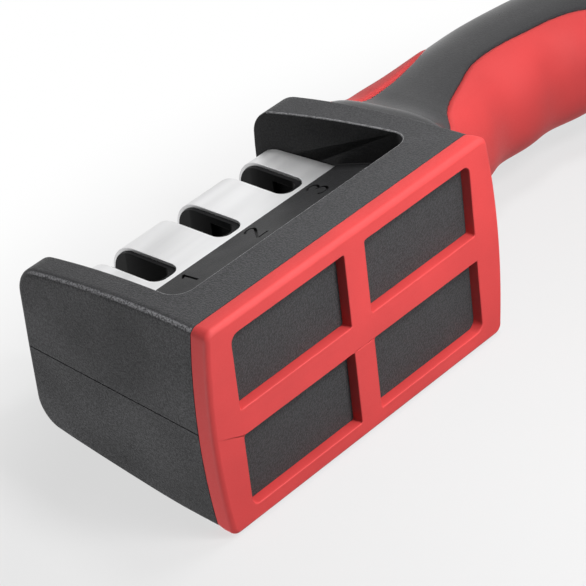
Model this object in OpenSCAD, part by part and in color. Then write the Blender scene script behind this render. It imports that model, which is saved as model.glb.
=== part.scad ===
// Three stage knife sharpener, standing on its base frame, handle towards +X.
// Origin: middle of the base face under the head. The numbered side faces -Y.

/* [Head] */
// Length of the head between its corners, at the top of the base frame
head_l = 86; // [80:0.5:100]
// Width of the head at the top of the base frame
head_w = 47.6; // [46:0.2:56]
// Height of the two cheeks above the table
head_h = 57; // [56:0.2:64]
// How far each end face bows out at its middle, at the base frame
end_bow = 1.9; // [0.6:0.1:3]
// How far each end face bows out at its middle, at the ridge
ridge_bow = 0.3; // [0.1:0.1:1]
// Radius of the four upright corners of the head
head_corner_r = 1.5; // [0.5:0.1:2.5]
// How far the free end face leans in from the frame to the ridge
end_lean = 3.4; // [1:0.1:5]
// How far the end face behind the handle leans in instead
neck_lean = 0.8; // [0.4:0.1:3.4]
// How far each side leans in from the frame to the ridge
side_lean = 5.3; // [3:0.1:7]
// Radius of the ridge corners of the cheeks
crown_r = 7; // [4:0.5:9]
// Thickness of each cheek
cheek_t = 6.3; // [5:0.1:7.5]
// Height of the channel floor between the cheeks
step_h = 14.2; // [13:0.1:18]
// Radius of the two lower corners of the channel
step_r = 4; // [2:0.5:6]
// Wall thickness of the two shells
wall = 2.2; // [1.6:0.1:2.8]

/* [Base frame] */
// Thickness of the rubber base frame
frame_t = 4.7; // [4:0.1:6]
// Width of the long side rails
side_rail = 3.5; // [2.5:0.1:5]
// Width of the end stiles
end_stile = 5.9; // [4:0.1:8]
// Width of the long middle bar
mid_bar = 6.1; // [4:0.1:8]
// Width of the middle stile
mid_stile = 6.3; // [4:0.1:8]
// Depth of the four windows down to the black panels
window_depth = 2.4; // [1.5:0.1:3]
// Radius of the outermost corner of each window
window_r = 2; // [0.5:0.1:3]
// Radius of the frame's corners seen from below
frame_corner_r = 1.9; // [1.6:0.1:4]
// How far the frame widens on each side towards the table
frame_flare = 0.4; // [0.1:0.1:0.8]
// Rounding of the frame's lower edge
frame_round = 1.2; // [0.5:0.1:1.6]

/* [Saddle] */
// Width over the steel cover
saddle_w = 21.2; // [20:0.1:24]
// Height of the top of the steel cover
saddle_h = 56.9; // [56:0.1:62]
// Radius of the two upper edges of the steel cover
saddle_r = 7; // [4:0.1:9]
// Sheet thickness of the steel cover
cover_t = 0.8; // [0.5:0.1:1.2]
// Height of the ledge that the steel cover stands on
ledge_h = 35; // [30:0.2:35.6]
// Width of the sloping ledge at the channel floor
ledge_w = 34.6; // [30:0.2:38]
// Width of the ledge's top edge outside the steel cover
ledge_lip = 0.3; // [0.1:0.1:0.8]

/* [Slots] */
// Distance from one slot to the next
slot_pitch = 19.9; // [19:0.1:21]
// Distance of the middle slot from the middle of the head
slot_shift = 3.3; // [1:0.1:4]
// Width of the notches in the steel cover
slot_w = 7.4; // [6.6:0.1:8]
// Height of the bottom of the notches
slot_floor = 36.4; // [36.2:0.1:38]
// Corner radius at the bottom of the notches
slot_r = 2.8; // [1.5:0.1:3.2]
// Width of the knife gap in the black carrier
gap_w = 5.4; // [4.6:0.1:6]
// Height of the bottom of the knife gap
gap_floor = 38; // [37.4:0.1:39]
// Corner radius at the bottom of the knife gap
gap_r = 2.2; // [1:0.1:2.2]
// How much the knife gap widens on each side at its mouth
gap_flare = 0.7; // [0.2:0.1:0.9]
// Height of the widened mouth of the knife gap
gap_mouth = 4.4; // [2:0.1:6]

/* [Numerals] */
// Height of the numerals on the ledge
numeral_h = 6.2; // [3:0.1:7]
// Width of the numerals
numeral_w = 3.2; // [2:0.1:4]
// Width of one stroke
stroke_w = 0.45; // [0.3:0.05:0.8]
// Depth of the strokes
stroke_depth = 0.35; // [0.2:0.05:0.6]
// Distance from the ledge's top edge to the numerals
numeral_drop = 1.7; // [1:0.1:4]
// Slant of the numerals
numeral_slant = 14; // [0:1:20]

/* [Wheels] */
// Radius of the grinding wheels
wheel_r = 7.5; // [6.5:0.1:7.8]
// Thickness of one grinding wheel
wheel_t = 3; // [2.6:0.1:3.2]
// Radius where the bevel of a wheel ends
wheel_core_r = 3; // [2.6:0.1:4]
// Width of the flat rim of a wheel
wheel_rim = 1.1; // [0.5:0.1:1.6]
// Radius of the wheel axles
axle_r = 1.5; // [1:0.1:1.8]
// Height of the axles
axle_h = 37.5; // [36.8:0.1:38.2]
// Length of axle held in the carrier at each end
axle_hold = 3; // [2:0.1:3.4]
// Running clearance between a wheel and its axle
run_fit = 0.05; // [0.02:0.01:0.1]
// Side clearance between a wheel and its neighbours
side_fit = 0.1; // [0.05:0.05:0.2]
// Clearance around the rims of the wheels in their pockets
wheel_clear = 0.6; // [0.5:0.1:0.8]
// Radius of the thrust washers
washer_r = 2.6; // [2.2:0.1:3]
// Thickness of the thrust washers
washer_t = 0.5; // [0.3:0.1:0.6]

/* [Blades] */
// Width of a carbide blade
blade_w = 4.6; // [4:0.1:5]
// Thickness of a carbide blade
blade_t = 1.6; // [1.2:0.1:2]
// Length of a blade above the crossing point
blade_up = 5.5; // [4:0.1:6]
// Length of a blade below the crossing point
blade_down = 9; // [8:0.1:10]
// Tilt of each blade from upright
blade_tilt = 20; // [15:1:25]
// Height of the crossing point
blade_h = 41.5; // [40:0.1:42.4]
// Gap between the two blades
blade_gap = 0.2; // [0.1:0.1:0.6]
// Radius of the screw through both blades
blade_screw_r = 1; // [0.8:0.1:1.2]

/* [Carrier] */
// Height of the underside of the carrier
carrier_h = 24; // [22:0.2:26]
// Thickness of the plate under the carrier
plate_t = 2; // [1.5:0.1:2.5]
// Width of the plate under the carrier
plate_w = 12.4; // [11:0.2:14]
// Thickness of the two shelf ribs that the carrier rests on
rib_t = 2; // [1.5:0.1:3]
// Distance of each shelf rib from the middle of the head
rib_x = 26; // [24:0.5:28]
// Slip clearance between fitted pieces
fit = 0.1; // [0.05:0.05:0.2]

/* [Handle] */
// Length of the handle from the corner of the head to its tail
handle_l = 123; // [110:1:140]
// Width of the handle at its grip
grip_w = 28; // [26:0.5:32]
// Height of the handle at its grip
grip_h = 32; // [28:0.5:34]
// Thickness of the rubber grip inlays
grip_t = 1.4; // [1:0.1:2]
// Depth of the finger waves under the handle
wave_depth = 1.2; // [0.4:0.1:2]
// Distance from one finger wave to the next
wave_pitch = 19; // [16:0.5:22]

/* [Screws] */
// Radius of the shank of the shell screws
screw_r = 1.4; // [1:0.1:1.6]
// Radius of the head of the shell screws
screw_head_r = 2.6; // [2.2:0.1:3]
// Thickness of the head of the shell screws
screw_head_t = 1.7; // [1.2:0.1:2.2]
// Distance from the seam to the seat of the screw heads
screw_seat = 7; // [5:0.5:8]
// Depth of the shell screws past the seam
screw_reach = 8; // [6:0.5:9]
// Wall around the screw wells
boss_wall = 1.5; // [1:0.1:2]
// Radius of the shank of the plate screws
plate_screw_r = 1; // [0.8:0.1:1.2]
// Length of the plate screws under their heads
plate_screw_l = 8; // [6:0.5:9]

/* [Hidden] */
$fn = 64;
over = 1;

lean_rate = end_lean / (head_h - frame_t);
side_rise = head_h - frame_t;
side_arc_r = (pow(side_rise, 2) + pow(side_lean, 2)) / (2 * side_lean);
crown_a = asin((head_h - crown_r - frame_t) / side_arc_r);
crown_z = head_h - crown_r * (1 - sin(crown_a));
floor_h = frame_t + wall;
window_out_x = head_l / 2 - end_stile;
window_out_y = head_w / 2 - side_rail;
core_w = saddle_w - 2 * cover_t;
slot_xs = [slot_shift - slot_pitch, slot_shift, slot_shift + slot_pitch];
pocket_x = wheel_t + washer_t + 2 * side_fit;
pocket_y = wheel_r + wheel_clear;
pocket_top = axle_h + wheel_r + wheel_clear;
frame_lip = fit;
blade_hole_drop = blade_down - 3 * blade_screw_r;
blade_screw_head_r = 2 * blade_screw_r;
blade_screw_head_t = blade_screw_r;
plate_screw_head_r = 2 * plate_screw_r;
handle_x = head_l / 2;
tail_x = handle_x + handle_l;
tail_start = tail_x - grip_w / 3;
root_share = 0.05;
head_screw_x_share = 0.895;
head_screw_z_share = 0.182;
grip_screw_shares = [0.2, 0.56, 0.76];

// Cross sections of the handle. Each row is a share of the handle's length from the corner
// of the head, the height of its middle above the frame as a share of the head's rise, its
// height and width as shares of the grip's, its squareness and its flare towards the base.
section_shares = [
    [-root_share, 0.4618, 1.484, 1.580, 3.8, 0.12],
    [0.000, 0.4589, 1.456, 1.600, 3.4, 0.12],
    [0.020, 0.4713, 1.403, 1.543, 3.4, 0.11],
    [0.049, 0.5134, 1.341, 1.300, 3.4, 0.07],
    [0.098, 0.5851, 1.131, 1.093, 3.0, 0.03],
    [0.154, 0.6189, 1.081, 1.029, 2.6, 0],
    [0.220, 0.6418, 1.021, 1.007, 2.4, 0],
    [0.325, 0.6592, 0.961, 1.000, 2.4, 0],
    [0.423, 0.6545, 0.951, 1.000, 2.5, 0],
    [0.520, 0.6262, 0.958, 1.000, 2.5, 0],
    [0.602, 0.5924, 0.945, 0.993, 2.5, 0],
    [0.707, 0.5292, 0.894, 0.964, 2.5, 0],
    [0.829, 0.4300, 0.788, 0.900, 2.4, 0],
    [0.935, 0.3265, 0.700, 0.843, 2.3, 0],
    [1.000, 0.2600, 0.662, 0.814, 2.2, 0]];
// Near the head the sections follow its size instead of the grip's
root_h_share = 0.6119;
root_w_share = 0.5882;
neck_share = 0.154;
wave_start_share = 0.228;
wave_count = 2;

// Upper edge of the lower grip: shares of the handle's length and of its half height
lower_edge_shares = [[-0.06, -0.923], [0.000, -0.852], [0.045, -0.877], [0.090, -0.943],
    [0.130, -0.790], [0.155, -0.648], [0.185, -0.556], [0.220, -0.495], [0.250, -0.442],
    [0.280, -0.375], [0.310, -0.328], [0.350, -0.314], [0.400, -0.335], [0.450, -0.365],
    [0.500, -0.382], [0.540, -0.419], [0.575, -0.485], [0.610, -0.613], [0.645, -0.785],
    [0.672, -1.010], [0.690, -1.334]];
// Lower edge of the thumb grip, in the same shares
thumb_edge_shares = [[-0.06, 0.960], [0.000, 0.900], [0.025, 0.700], [0.050, 0.500],
    [0.085, 0.418], [0.118, 0.385], [0.150, 0.371], [0.180, 0.374], [0.211, 0.402],
    [0.260, 0.482], [0.300, 0.586], [0.340, 0.734], [0.385, 0.909], [0.425, 1.152]];

function joined(right, left) = concat(right, [for (i = [len(left) - 1:-1:0])
    [-left[i][0], left[i][1]]]);
function mirrored(points) = joined(points, points);
function side_y(z) = head_w / 2 - side_arc_r
    + sqrt(pow(side_arc_r, 2) - pow(z - frame_t, 2));
function inner_x(z) = head_l / 2 - cheek_t - lean_rate * (z - frame_t);
function end_x(y, z, lean) = let (rise = (z - frame_t) / side_rise)
    head_l / 2 - lean * rise
    + (end_bow + (ridge_bow - end_bow) * rise) * (1 - pow(2 * y / head_w, 2));
function crown_y(z) = z < crown_z ? side_y(z)
    : side_y(crown_z) - crown_r * cos(crown_a)
        + sqrt(max(0, pow(crown_r, 2) - pow(z - head_h + crown_r, 2)));
function arc_points(cx, cy, r, from, to, steps) = [for (i = [0:steps])
    let (a = from + (to - from) * i / steps) [cx + r * cos(a), cy + r * sin(a)]];

// Smooth curve through a column of a table whose first column is the place
function row_at(t, x, i = 0) = (i >= len(t) - 2 || x < t[i + 1][0]) ? i : row_at(t, x, i + 1);
function rise_at(t, i, k) = let (a = max(i - 1, 0), b = min(i + 1, len(t) - 1))
    (t[b][k] - t[a][k]) / (t[b][0] - t[a][0]);
function smooth_at(t, x, k) = let (i = row_at(t, x), h = t[i + 1][0] - t[i][0],
    s = (x - t[i][0]) / h)
    (1 + 2 * s) * pow(1 - s, 2) * t[i][k] + s * pow(1 - s, 2) * h * rise_at(t, i, k)
    + s * s * (3 - 2 * s) * t[i + 1][k] + s * s * (s - 1) * h * rise_at(t, i + 1, k);
function along_share(x) = (x - handle_x) / handle_l;
function root_pull(x) = let (s = min(1, max(0, along_share(x) / neck_share)))
    (1 + cos(180 * s)) / 2;
function blend_at(x, grip, root) = grip + root_pull(x) * (root - grip);
function middle_z(x) = frame_t + side_rise * smooth_at(section_shares, along_share(x), 1);
function half_h(x) = blend_at(x, grip_h, root_h_share * side_rise) / 2
    * smooth_at(section_shares, along_share(x), 2);
function half_w(x) = blend_at(x, grip_w, root_w_share * head_w) / 2
    * smooth_at(section_shares, along_share(x), 3);
function edge_points(shares) = [for (p = shares) let (x = handle_x + p[0] * handle_l)
    [x, middle_z(x) + p[1] * half_h(x)]];
function tail_scale(x) = x < tail_start ? 1
    : sqrt(max(0, 1 - pow((x - tail_start) / (tail_x - tail_start), 2)));
function wave(x) = let (s = (x - handle_x - wave_start_share * handle_l) / wave_pitch)
    (s < 0 || s > wave_count) ? 0 : wave_depth * (1 - cos(360 * s)) / 2;
function bend(value, power) = sign(value) * pow(abs(value), 2 / power);
function section_point(x, v, inset) = let (
    power = smooth_at(section_shares, along_share(x), 4),
    flare = smooth_at(section_shares, along_share(x), 5),
    fade = tail_scale(x),
    up = bend(sin(v), power),
    high = up < 0 ? half_h(x) - wave(x) : half_h(x))
    [x, (half_w(x) * fade - inset) * bend(cos(v), power) * (1 - flare * up),
        middle_z(x) + (high * fade - inset) * up];

ring_steps = 12;
body_steps = 22;
tail_steps = 6;
tail_end_a = 72;
function stations(first, last) = concat(
    [for (i = [0:body_steps]) first + (min(tail_start, last) - first) * i / body_steps],
    last > tail_start ? [for (i = [1:tail_steps])
        tail_start + (last - tail_start) * sin(tail_end_a * i / tail_steps)] : []);

// A wall of triangles between neighbouring rings of n points
function ring_faces(rings, n, closed) = [for (i = [0:rings - 2])
    for (j = [0:n - (closed ? 1 : 2)])
    let (a = i * n + j, d = i * n + (j + 1) % n, b = a + n, c = d + n)
    each [[a, b, c], [a, c, d]]];
function seam_faces(rings, n) = [for (i = [0:rings - 2])
    let (a = i * n, d = i * n + n - 1, b = a + n, c = d + n)
    each [[a, d, c], [a, c, b]]];
function end_faces(rings, n) = [[for (j = [0:n - 1]) j],
    [for (j = [n - 1:-1:0]) (rings - 1) * n + j]];

// Rear half of the handle, from the seam outwards
module handle_half(first, last, inset) {
    xs = stations(first, last);
    n = ring_steps + 1;
    points = [for (x = xs) for (j = [0:ring_steps])
        section_point(x, -90 + 180 * j / ring_steps, inset)];
    polyhedron(points, concat(ring_faces(len(xs), n, false), seam_faces(len(xs), n),
        end_faces(len(xs), n)));
}

// The whole handle, both sides of the seam
module handle_whole(first, last, inset) {
    xs = stations(first, last);
    n = 2 * ring_steps;
    points = [for (x = xs) for (j = [0:n - 1]) section_point(x, -90 + 360 * j / n, inset)];
    polyhedron(points, concat(ring_faces(len(xs), n, true), end_faces(len(xs), n)));
}

// An outline of Y and Z, run along X
module along_x(from, to) {
    translate([from, 0, 0]) rotate([90, 0, 90]) linear_extrude(to - from) children();
}

// An outline of X and Z, run along Y
module along_y(from, to) {
    translate([0, to, 0]) rotate([90, 0, 0]) linear_extrude(to - from) children();
}

end_steps = 6;
corner_steps = 5;

// One end of the head's plan from the seam to the side, its upright corner rounded
function end_points(half, z, r, lean) = concat(
    [for (i = [0:end_steps]) let (y = (half - r) * i / end_steps) [end_x(y, z, lean), y]],
    [for (i = [1:corner_steps]) let (a = 90 * i / corner_steps)
        [end_x(half - r, z, lean) - r + r * cos(a), half - r + r * sin(a)]]);

// Rear half of the head, without its channel
module head_block() {
    side_steps = 8;
    crown_steps = 8;
    heights = concat([for (i = [0:side_steps]) frame_t + (crown_z - frame_t) * i / side_steps],
        [for (i = [1:crown_steps]) let (a = crown_a + (90 - crown_a) * i / crown_steps)
            head_h - crown_r * (1 - sin(a))]);
    rings = [for (z = heights) let (y = crown_y(z))
        joined(end_points(y, z, head_corner_r, neck_lean),
            end_points(y, z, head_corner_r, end_lean))];
    n = len(rings[0]);
    points = [for (i = [0:len(heights) - 1]) for (p = rings[i]) [p[0], p[1], heights[i]]];
    polyhedron(points, concat(ring_faces(len(heights), n, true), end_faces(len(heights), n)));
}

module channel_outline() {
    corner_x = inner_x(step_h + step_r) - step_r;
    top = head_h + over;
    right = concat(arc_points(corner_x, step_h + step_r, step_r, -90, 0, corner_steps),
        [[inner_x(top), top]]);
    polygon(mirrored(right));
}

// The space between the cheeks, narrowed by a clearance
module between_outline(low, high, clear) {
    polygon(mirrored([[inner_x(low) - clear, low], [inner_x(high) - clear, high]]));
}

module ledge_outline() {
    foot = step_h - wall;
    polygon([[0, foot], [ledge_w / 2, foot], [ledge_w / 2, step_h],
        [saddle_w / 2 + ledge_lip, ledge_h], [0, ledge_h]]);
}

module window_outline(clear) {
    low_x = mid_stile / 2 + clear;
    low_y = mid_bar / 2 + clear;
    high_x = window_out_x - clear;
    high_y = window_out_y - clear;
    polygon(concat([[low_x, low_y], [high_x, low_y]],
        arc_points(high_x - window_r, high_y - window_r, window_r, 0, 90, corner_steps),
        [[low_x, high_y]]));
}

module both_ends() {
    children();
    mirror([1, 0, 0]) children();
}

// Middle line of every shell screw, as X and Z
function shell_screw_places() = concat(
    [for (side = [-1, 1]) [side * head_screw_x_share * head_l / 2, head_screw_z_share * head_h]],
    [for (s = grip_screw_shares) let (x = handle_x + s * handle_l) [x, middle_z(x)]]);

module rod_y(place, r, from, to) {
    translate([place[0], to, place[1]]) rotate([90, 0, 0]) cylinder(r = r, h = to - from);
}

module lower_grip_region() {
    points = edge_points(lower_edge_shares);
    ends = [points[0][0], points[len(points) - 1][0]];
    along_y(-grip_w, grip_w)
        polygon(concat(points, [[ends[1], -over], [ends[0], -over]]));
}

module thumb_grip_region() {
    points = edge_points(thumb_edge_shares);
    ends = [points[0][0], points[len(points) - 1][0]];
    top = head_h + grip_h;
    along_y(-grip_w, grip_w)
        polygon(concat(points, [[ends[1], top], [ends[0], top]]));
}

handle_root = handle_x - root_share * handle_l;
cavity_start = handle_x + wall;
cavity_inset = grip_t + wall;
cavity_end = tail_start;

// Rear half of the handle shell, sunk where the rubber lies
module handle_shell_half() {
    difference() {
        union() {
            handle_half(handle_root, tail_x, grip_t);
            difference() {
                handle_half(handle_root, tail_x, 0);
                lower_grip_region();
                thumb_grip_region();
            }
        }
        handle_whole(cavity_start, cavity_end, cavity_inset);
    }
}

module head_shell_half() {
    difference() {
        union() {
            difference() {
                head_block();
                along_y(-over, head_w) channel_outline();
            }
            along_x(-head_l / 2 + cheek_t / 2, head_l / 2 - cheek_t / 2) ledge_outline();
            both_ends() translate([0, 0, window_depth]) linear_extrude(floor_h - window_depth)
                window_outline(fit);
        }
        along_y(-over, core_w / 2 + fit) between_outline(floor_h, head_h + over, 0);
        translate([-inner_x(step_h), -over, floor_h])
            cube([2 * inner_x(step_h), head_w / 2 - 2 * wall + over, step_h - wall - floor_h]);
    }
    for (side = [-1, 1])
        translate([side * rib_x - rib_t / 2, plate_w / 2 + fit, floor_h - wall / 2])
            cube([rib_t, (core_w - plate_w) / 2 + wall, carrier_h - floor_h + wall / 2]);
}

module shell_bosses() {
    places = shell_screw_places();
    boss_r = screw_head_r + fit + boss_wall;
    for (i = [2:len(places) - 1])
        rod_y(places[i], boss_r, 0, grip_w / 2 - cavity_inset + wall / 2);
}

module rear_half() {
    difference() {
        union() {
            head_shell_half();
            handle_shell_half();
            shell_bosses();
        }
        for (p = shell_screw_places()) {
            rod_y(p, screw_r + fit, -over, head_w);
            rod_y(p, screw_head_r + fit, screw_seat, head_w);
        }
    }
}

// A stroke of even width along a path
module stroke(upright_path) {
    path = [for (p = upright_path) [p[0] + p[1] * tan(numeral_slant), p[1]]];
    last = len(path) - 1;
    sides = [for (i = [0:last]) let (d = path[min(i + 1, last)] - path[max(i - 1, 0)])
        stroke_w / 2 / norm(d) * [-d[1], d[0]]];
    polygon(concat([for (i = [0:last]) path[i] + sides[i]],
        [for (i = [last:-1:0]) path[i] - sides[i]]));
}

module numeral_one() {
    stroke([[0, -numeral_h / 2], [0, numeral_h / 2]]);
    stroke([[-numeral_w / 3, numeral_h / 4], [stroke_w / 2, numeral_h / 2]]);
}

module numeral_two() {
    r = (numeral_w - stroke_w) / 2;
    start_a = 170;
    end_a = -40;
    bow = arc_points(0, numeral_h / 2 - r, r, start_a, end_a, 12);
    foot = [-numeral_w / 2, -numeral_h / 2];
    stroke(bow);
    stroke([bow[len(bow) - 1], foot]);
    stroke([foot, [numeral_w / 2, -numeral_h / 2]]);
}

module numeral_three() {
    high_share = 0.23;
    high_r = high_share * numeral_h;
    low_r = numeral_h / 2 - high_r;
    open_a = 160;
    stroke(arc_points(0, numeral_h / 2 - high_r, high_r, open_a, -90, 12));
    stroke(arc_points(0, low_r - numeral_h / 2, low_r, 90, -open_a, 14));
}

// Cuts an outline into the sloping ledge, its middle at X
module on_ledge(x) {
    rise = ledge_h - step_h;
    run = ledge_w / 2 - saddle_w / 2 - ledge_lip;
    down = (numeral_drop + numeral_h / 2) / norm([rise, run]);
    translate([x, saddle_w / 2 + ledge_lip + down * run, ledge_h - down * rise])
        rotate([90 + atan(run / rise), 0, 0]) translate([0, 0, -over])
            linear_extrude(stroke_depth + over) children();
}

module front_half() {
    difference() {
        union() {
            head_shell_half();
            handle_shell_half();
            shell_bosses();
        }
        for (p = shell_screw_places()) rod_y(p, screw_r + fit, -over, screw_reach + fit);
        on_ledge(slot_xs[0]) numeral_one();
        on_ledge(slot_xs[1]) numeral_two();
        on_ledge(slot_xs[2]) numeral_three();
    }
}

module front_shell() {
    color([0.27, 0.27, 0.28]) mirror([0, 1, 0]) front_half();
}

module rear_shell() {
    color([0.27, 0.27, 0.28]) rear_half();
}

// Half outline of the frame seen from below, its outer edge moved out by a share of the flare
function frame_points(out) = mirrored([
    for (p = end_points(head_w / 2, frame_t, frame_corner_r, end_lean))
        p + out * (p[1] > head_w / 2 - frame_corner_r
            ? [p[0] - end_x(head_w / 2 - frame_corner_r, frame_t, end_lean) + frame_corner_r,
                p[1] - head_w / 2 + frame_corner_r] / frame_corner_r : [1, 0])]);

module frame_half() {
    soft_a = 45;
    difference() {
        hull() {
            translate([0, 0, frame_t - frame_lip]) linear_extrude(frame_lip)
                polygon(frame_points(0));
            translate([0, 0, frame_round]) linear_extrude(frame_lip)
                polygon(frame_points(frame_flare));
            translate([0, 0, frame_round * (1 - sin(soft_a))])
                linear_extrude(frame_round * sin(soft_a))
                    polygon(frame_points(frame_flare - frame_round * (1 - cos(soft_a))));
            linear_extrude(frame_round) polygon(frame_points(frame_flare - frame_round));
        }
        both_ends() translate([0, 0, -over]) linear_extrude(frame_t + 2 * over)
            window_outline(0);
    }
}

module front_base_frame() {
    color([0.91, 0.35, 0.35]) {
        mirror([0, 1, 0]) frame_half();
        translate([-window_out_x, 0, 0]) cube([2 * window_out_x, mid_bar / 2, frame_t]);
    }
}

module rear_base_frame() {
    color([0.91, 0.35, 0.35]) difference() {
        frame_half();
        translate([-window_out_x, -over, -over])
            cube([2 * window_out_x, mid_bar / 2 + over, frame_t + 2 * over]);
    }
}

module grip_skin() {
    difference() {
        intersection() {
            handle_half(handle_root, tail_x, 0);
            children();
        }
        handle_whole(handle_root, tail_x, grip_t);
        head_block();
    }
}

module lower_grip() {
    color([0.91, 0.35, 0.35]) grip_skin() lower_grip_region();
}

module thumb_grip() {
    color([0.91, 0.35, 0.35]) grip_skin() thumb_grip_region();
}

// Outline across the saddle, drawn in from the steel's outer face by an inset
module saddle_outline(low, inset) {
    w = saddle_w / 2 - inset;
    r = saddle_r - inset;
    bend_steps = 10;
    right = concat([[w, low]], arc_points(w - r, saddle_h - saddle_r, r, 0, 90, bend_steps));
    polygon(mirrored(right));
}

// Outline of a slot with a round bottom, as X and Z
module slot_outline(w, low, r, flare, mouth) {
    top = saddle_h + over;
    widen = mouth > 0 ? flare * (mouth + over) / mouth : 0;
    right = concat(arc_points(w / 2 - r, low + r, r, -90, 0, corner_steps),
        [[w / 2, saddle_h - cover_t - mouth], [w / 2 + widen, top]]);
    polygon(mirrored(right));
}

module saddle_cover() {
    color([0.85, 0.85, 0.86]) difference() {
        intersection() {
            along_x(-head_l / 2, head_l / 2) saddle_outline(ledge_h, 0);
            along_y(-saddle_w, saddle_w) between_outline(ledge_h - over, saddle_h + over, fit);
        }
        along_x(-head_l, head_l) saddle_outline(ledge_h - over, cover_t);
        for (x = slot_xs) translate([x, 0, 0]) along_y(-saddle_w, saddle_w)
            slot_outline(slot_w, slot_floor, slot_r, 0, 0);
    }
}

module wheel_pocket() {
    translate([-pocket_x, -pocket_y, carrier_h - over])
        cube([2 * pocket_x, 2 * pocket_y, pocket_top - carrier_h + over]);
    hold_x = pocket_x + axle_hold + fit;
    translate([-hold_x, 0, axle_h]) rotate([0, 90, 0]) cylinder(r = axle_r + fit, h = 2 * hold_x);
    translate([-hold_x, -axle_r - fit, carrier_h - over])
        cube([2 * hold_x, 2 * (axle_r + fit), axle_h - carrier_h + over]);
}

// The slanting seat of a blade, open below so that the blade slides in
module blade_seat(side) {
    depth = (blade_h - carrier_h) / cos(blade_tilt) + blade_w;
    translate([0, side > 0 ? blade_gap / 2 - fit : -blade_gap / 2 - blade_t - fit, blade_h])
        rotate([0, side * blade_tilt, 0])
            translate([side > 0 ? -fit : -blade_w - fit, 0, -depth])
                cube([blade_w + 2 * fit, blade_t + 2 * fit, depth + blade_up + fit]);
}

plate_screw_places = [for (x = [slot_xs[0] - slot_pitch / 2 - screw_r,
    (slot_xs[1] + slot_xs[2]) / 2]) for (y = [-1, 1]) [x, y * plate_w / 3]];

module stage_carrier() {
    color([0.16, 0.16, 0.17]) difference() {
        intersection() {
            along_x(-head_l / 2, head_l / 2) saddle_outline(carrier_h, cover_t);
            along_y(-saddle_w, saddle_w) between_outline(carrier_h - over, saddle_h + over, fit);
        }
        for (x = slot_xs) translate([x, 0, 0]) along_y(-saddle_w, saddle_w)
            slot_outline(gap_w, gap_floor, gap_r, gap_flare, gap_mouth);
        for (i = [1, 2]) translate([slot_xs[i], 0, 0]) wheel_pocket();
        translate([slot_xs[0], 0, 0]) {
            blade_seat(-1);
            blade_seat(1);
            rod_y([0, blade_h - blade_hole_drop], blade_screw_r + fit, -saddle_w, core_w / 3);
            rod_y([0, blade_h - blade_hole_drop], blade_screw_head_r + fit, -saddle_w,
                -core_w / 2 + blade_screw_head_t);
        }
        for (p = plate_screw_places) translate([p[0], p[1], carrier_h - over])
            cylinder(r = plate_screw_r + fit, h = plate_screw_l - plate_t + fit + over);
    }
}

module carrier_plate() {
    color([0.16, 0.16, 0.17]) difference() {
        union() {
            translate([-inner_x(carrier_h) + cheek_t / 2, -plate_w / 2, carrier_h - plate_t])
                cube([2 * inner_x(carrier_h) - cheek_t, plate_w, plate_t]);
            for (i = [1, 2]) for (side = [-1, 1])
                translate([slot_xs[i] + side * (pocket_x + axle_hold / 2) - axle_hold / 2 + fit,
                    -axle_r, carrier_h - plate_t])
                    cube([axle_hold - 2 * fit, 2 * axle_r, axle_h - axle_r - carrier_h + plate_t]);
        }
        for (p = plate_screw_places) translate([p[0], p[1], carrier_h - plate_t - over])
            cylinder(r = plate_screw_r + fit, h = plate_t + 2 * over);
    }
}

// A screw along +Z with its head below, its seat at the origin
module screw(r, l, head_r, head_t) {
    drive_r = head_r / 2;
    cylinder(r = r, h = l);
    difference() {
        translate([0, 0, -head_t]) cylinder(r = head_r, h = head_t);
        translate([0, 0, -head_t - over]) cylinder(r = drive_r, h = head_t / 2 + over, $fn = 6);
    }
}

module plate_screws() {
    color([0.7, 0.7, 0.72]) for (p = plate_screw_places)
        translate([p[0], p[1], carrier_h - plate_t])
            screw(plate_screw_r, plate_screw_l - fit, plate_screw_head_r, plate_screw_r);
}

module blade(side) {
    translate([0, side > 0 ? blade_gap / 2 : -blade_gap / 2 - blade_t, blade_h])
        difference() {
            rotate([0, side * blade_tilt, 0]) translate([side > 0 ? 0 : -blade_w, 0, -blade_down])
                cube([blade_w, blade_t, blade_down + blade_up]);
            rod_y([0, -blade_hole_drop], blade_screw_r + fit, -over, blade_t + over);
        }
}

module carbide_blade_front() {
    color([0.45, 0.46, 0.48]) translate([slot_xs[0], 0, 0]) blade(-1);
}

module carbide_blade_rear() {
    color([0.45, 0.46, 0.48]) translate([slot_xs[0], 0, 0]) blade(1);
}

module blade_screw() {
    color([0.7, 0.7, 0.72])
        translate([slot_xs[0], -core_w / 2 + blade_screw_head_t, blade_h - blade_hole_drop])
            rotate([-90, 0, 0])
                screw(blade_screw_r, core_w / 2 + core_w / 3 - blade_screw_head_t - fit,
                    blade_screw_head_r, blade_screw_head_t - fit);
}

module axle(x) {
    half = pocket_x + axle_hold;
    color([0.75, 0.75, 0.77]) translate([x - half, 0, axle_h]) rotate([0, 90, 0])
        cylinder(r = axle_r, h = 2 * half);
}

// A bevelled grinding wheel on one side of its slot's middle
module wheel(x, side, tint) {
    near = side_fit / 2;
    far = near + wheel_t;
    bore = axle_r + run_fit;
    color(tint) translate([x, 0, axle_h]) rotate([0, side * 90, 0])
        rotate_extrude($fn = 96) polygon([[bore, near], [wheel_core_r, near],
            [wheel_r, far - wheel_rim], [wheel_r, far], [bore, far]]);
}

module thrust_washers() {
    gap = side_fit / 2 + wheel_t + side_fit;
    color([0.8, 0.8, 0.8]) for (i = [1, 2]) for (side = [-1, 1])
        translate([slot_xs[i], 0, axle_h]) rotate([0, side * 90, 0])
            translate([0, 0, gap]) difference() {
                cylinder(r = washer_r, h = washer_t);
                translate([0, 0, -over]) cylinder(r = axle_r + run_fit, h = washer_t + 2 * over);
            }
}

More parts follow.
